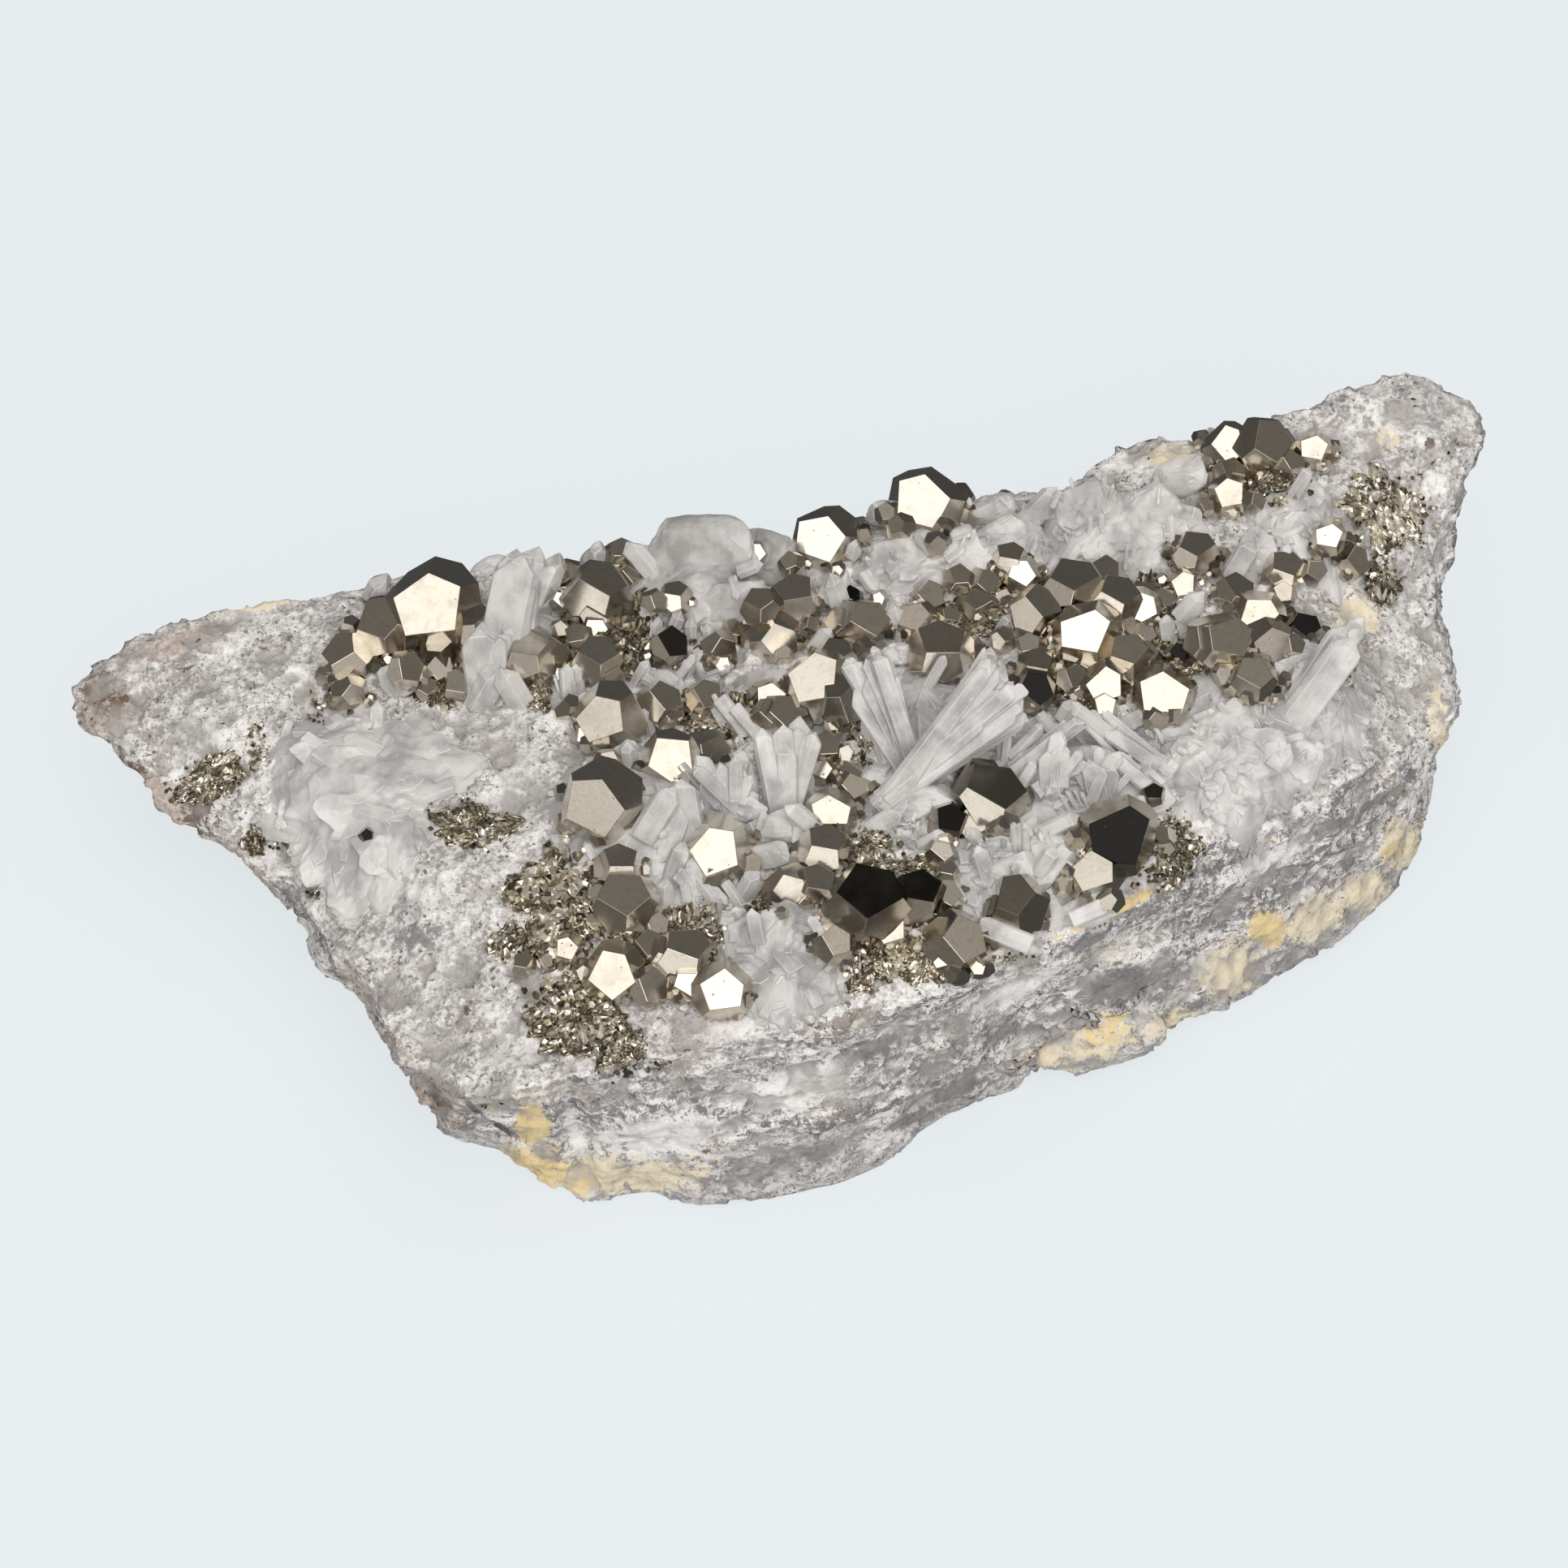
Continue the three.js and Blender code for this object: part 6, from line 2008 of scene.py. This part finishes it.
@dataclass
class GranularPyrite:
    """A patch of fine pyrite grains, in and around low masses.

    Spacing, sizes and jag are in shares of the grade. Of the bright grains, big_share are big times as large.
    A mass is at least least_mass dots wide, and one over large millimetres gets the finer mesh. Where the ground
    falls away more than most_fall, it is drawn in to the first share of fallback that is on higher ground.
    """

    name: str
    spots: Rows
    spacing: float = 0.75
    crowding: float = 1.1
    sizes: tuple[float, float] = (0.5, 1.3)
    big: float = 1.35
    big_share: float = 0.4
    rise: float = 0.2
    kinds: int = 8
    kind_spread: float = 0.3
    face_reach: float = 0.82
    bright_tone: tuple[float, float] = (0.6, 1.0)
    dull_tone: tuple[float, float] = (0.0, 0.42)
    fallback: Numbers = (1.0, 0.85, 0.7, 0.55, 0.4, 0.25, 0.1)
    large: float = 2.4
    least_mass: float = 12
    mass_ragged: float = 0.5
    most_fall: float = 2.0
    thickness: float = 0.7
    jag: float = 0.2
    lumpy: float = 0.9
    lump_size: float = 2.2
    cluster: float = 2.4
    cluster_size: float = 1.3
    ragged: float = 0.75
    ragged_size: float = 14
    ragged_reach: float = 1.35

    def build(self, ground: Ground, material: Material) -> bpy.types.Object:
        """Makes the patch.

        Args:
            ground: what the grains lie on.
            material: granular pyrite.

        Returns:
            The piece.
        """
        patch = Assembly()
        dice = random.Random("grains " + self.name)
        kinds = [pyritohedron(0.5, dice, self.kind_spread, self.face_reach) for _ in range(self.kinds)]
        for *oval, grade, bright in self.spots:
            right, down, across, along, _ = oval
            if min(across, along) > self.least_mass:
                self._mass(patch, dice, ground, oval, grade, bright)
            size = grade.value * MM
            step = size * self.spacing / VIEW.dot
            for _ in range(int(math.pi * across * along / step ** 2 * self.crowding)):
                around, reach = dice.uniform(0, math.tau), math.sqrt(dice.random()) * self.ragged_reach
                first, second = math.cos(around) * reach, math.sin(around) * reach
                ragged = cloud(Vector((right + first * across, down + second * along, 0)) / self.ragged_size)
                if reach + ragged * self.ragged > 1.0:
                    continue
                met = ground.seen(*oval_spot(oval, first, second))
                if met is None:
                    continue
                shiny = dice.random() < bright
                grain = size * dice.uniform(*self.sizes)
                grain *= self.big if shiny and dice.random() < self.big_share else 1.0
                turned = Matrix.Rotation(dice.uniform(0, 6.3), 4, Vector(noise.random_unit_vector()))
                place = Matrix.Translation(met[0] + met[1] * grain * self.rise) @ turned @ Matrix.Scale(grain, 4)
                tone = dice.uniform(*(self.bright_tone if shiny else self.dull_tone))
                patch.add(dice.choice(kinds), place, tone)
        for kind in kinds:
            kind.free()
        return finished(f"grains_{self.name}", patch.mesh, material)

    def _mass(
        self, patch: Assembly, dice: random.Random, ground: Ground, oval: Numbers, grade: Grade, bright: float
    ) -> None:
        """Adds a low mass whose surface breaks up in small flat flakes.

        Args:
            patch: where it goes.
            dice: the source of its irregularity.
            ground: what it lies on.
            oval: its middle, half sizes in dots and turn.
            grade: how coarse it is.
            bright: share of bright flakes.
        """
        right, down, across, along, turn = oval
        centre = ground.raised(right, down, 0)
        sizes = VIEW.plan_size(across, along)
        swing = Matrix.Rotation(math.radians(turn), 2)
        mass = bmesh.new()
        bmesh.ops.create_icosphere(mass, subdivisions=5 if max(sizes) > self.large * MM else 4, radius=1.0)
        jag = grade.value * self.jag
        for vert in mass.verts:
            point = vert.co
            around = Vector((point.x * 1.7 + right, point.y * 1.7 + down, 0))
            swell = 0.86 + self.mass_ragged * cloud(around)
            plan = swing @ Vector((point.x * sizes[0] * swell, point.y * sizes[1] * swell))
            for share in self.fallback:
                x, y = centre.x + plan.x * share, centre.y + plan.y * share
                level = ground.height(x, y)
                if abs(level - centre.z) < self.most_fall * MM:
                    break
            rise = point.z * self.thickness + (dice.uniform(-jag, jag) if point.z > 0 else 0)
            rise += max(0.0, point.z) * cloud(Vector((x, y, 0)) / (self.lump_size * MM)) * self.lumpy
            aside = Vector((dice.uniform(-jag, jag), dice.uniform(-jag, jag)))
            vert.co = Vector((x + aside.x * MM, y + aside.y * MM, level + rise * MM))
        tone = mass.faces.layers.float.new("tone")
        for face in mass.faces:
            cluster = 1 + self.cluster * noise.noise(face.calc_center_median() / (self.cluster_size * MM))
            face[tone] = dice.uniform(*(self.bright_tone if dice.random() < bright * cluster else self.dull_tone))
        patch.add(mass, Matrix.Identity(4))
        mass.free()


@dataclass
class Studio:
    """A pale floor and soft studio light. The room's colours go from behind the specimen to around the eye."""

    floor_size: float = 3.0
    floor_colour: Numbers = (0.14, 0.148, 0.153)
    floor_glow: Numbers = (0.66, 0.693, 0.713)
    top_place: Numbers = (0.1, 0.1, 1.0)
    top_size: float = 0.9
    top_power: float = 3.35
    front_back: float = 0.4
    front_aside: Numbers = (0.18, 0, 0.1)
    front_size: float = 0.6
    front_power: float = 3.9
    room_aside: Numbers = (-0.12, 0, 0)
    room: Sequence[tuple[float, Numbers]] = (
        (0.0, (0.066, 0.067, 0.07)), (0.5, (0.096, 0.093, 0.088)), (0.75, (0.17, 0.161, 0.146)),
        (0.9, (0.48, 0.455, 0.42)), (0.955, (1.6, 1.57, 1.52)), (1.0, (1.9, 1.87, 1.82)),
    )

    def build(self) -> None:
        """Adds the floor, the lights and the surroundings."""
        self._floor()
        self._light("top_light", Vector(self.top_place), self.top_size, self.top_power)
        front = VIEW.eye + VIEW.back * self.front_back + Vector(self.front_aside)
        self._light("front_light", front, self.front_size, self.front_power)
        self._surroundings()

    def _floor(self) -> None:
        """Adds the floor."""
        mesh = bmesh.new()
        bmesh.ops.create_grid(mesh, x_segments=1, y_segments=1, size=self.floor_size)
        data = bpy.data.meshes.new("floor")
        mesh.to_mesh(data)
        mesh.free()
        data.materials.append(new_material("floor", self._floor_finish))
        floor = bpy.data.objects.new("floor", data)
        floor.visible_glossy = False
        bpy.context.scene.collection.objects.link(floor)

    def _floor_finish(self, bench: Bench) -> Value:
        """Plain pale paper, lit from below."""
        others = {"Specular IOR Level": 0.0, "Emission Color": self.floor_glow, "Emission Strength": 1.0}
        return bench.surface(self.floor_colour, 0.9, others)

    def _light(self, name: str, place: Vector, size: float, power: float) -> None:
        """Adds a soft light that faces the specimen and isn't mirrored in it.

        Args:
            name: the light's name.
            place: where it is.
            size: its side.
            power: its power in watts.
        """
        lamp = bpy.data.lights.new(name, "AREA")
        lamp.shape = "SQUARE"
        lamp.size = size
        lamp.energy = power
        light = bpy.data.objects.new(name, lamp)
        turn = (place - VIEW.aim).to_track_quat("Z", "Y").to_matrix().to_4x4()
        light.matrix_world = Matrix.Translation(place) @ turn
        light.visible_glossy = False
        bpy.context.scene.collection.objects.link(light)

    def _surroundings(self) -> None:
        """A room that is dim behind the specimen and bright around the eye."""
        world = bpy.data.worlds.new("studio")
        bpy.context.scene.world = world
        world.use_nodes = True
        bench = Bench(world.node_tree)
        way = bench.node("ShaderNodeTexCoord")["Generated"]
        front = tuple((VIEW.back + Vector(self.room_aside)).normalized())
        towards = bench.node("ShaderNodeVectorMath", {"operation": "DOT_PRODUCT"}, [way, front])
        colour = bench.ramp(towards["Value"] * 0.5 + 0.5, *self.room)
        shader = bench.node("ShaderNodeBackground", {}, {"Color": colour, "Strength": 1.0})
        bench.node("ShaderNodeOutputWorld", {}, {"Surface": shader[0]})


def build_quartz(slab: Ground, ground: Ground) -> None:
    """Builds every patch of quartz.

    Args:
        slab: the bare slab.
        ground: the slab and, afterwards, the crusts on it.
    """
    milky = QuartzFinish(name="milky_quartz", clear_share=0.3, frost=0.4).material()
    smoky = QuartzFinish(
        name="smoky_quartz", milky=(0.75, 0.735, 0.72), smoky=(0.60, 0.585, 0.57), clear_share=0.3, frost=0.3
    ).material()
    clear = QuartzFinish(
        name="clear_quartz", clear_share=0.5, clear_from=0.38, clear_to=0.68, frost=0.13, through=0.38
    ).material()
    crusts = {
        patch.name: patch.build_crust(slab, ground, smoky if patch.smoky else milky) for patch in QUARTZ_PATCHES
    }
    for patch in QUARTZ_PATCHES:
        patch.build_prisms(ground, clear)
        if patch.points:
            patch.build_points(ground, clear)
    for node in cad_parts:
        if node.startswith("quartz_"):
            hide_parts(node)


def build_pyrite(ground: Ground) -> None:
    """Builds the pyrite crystals and the granular patches.

    Args:
        ground: what they stand on.
    """
    metal = PyriteFinish().material()
    for group, crystals in PYRITE_GROUPS.items():
        PyriteCrystals(group, crystals).build(ground, metal)
    fine = GrainFinish().material()
    noise.seed_set(7)
    patches = {name: GranularPyrite(name, spots).build(ground, fine) for name, spots in GRAIN_PATCHES.items()}
    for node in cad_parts:
        if node.startswith("pyrite_grains_"):
            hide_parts(node)


def main() -> None:
    """Builds the specimen, the studio and the camera."""
    logging.basicConfig(level=logging.INFO, format="%(message)s")
    bpy.context.scene.view_settings.view_transform = "Standard"
    VIEW.add_camera()
    Studio().build()
    slab = Ground()
    GraniteSlab(STAINS, OUTLINE, FORMS).build(slab)
    ground = Ground(slab)
    build_quartz(slab, ground)
    build_pyrite(ground)


if __name__ == "__main__":
    main()
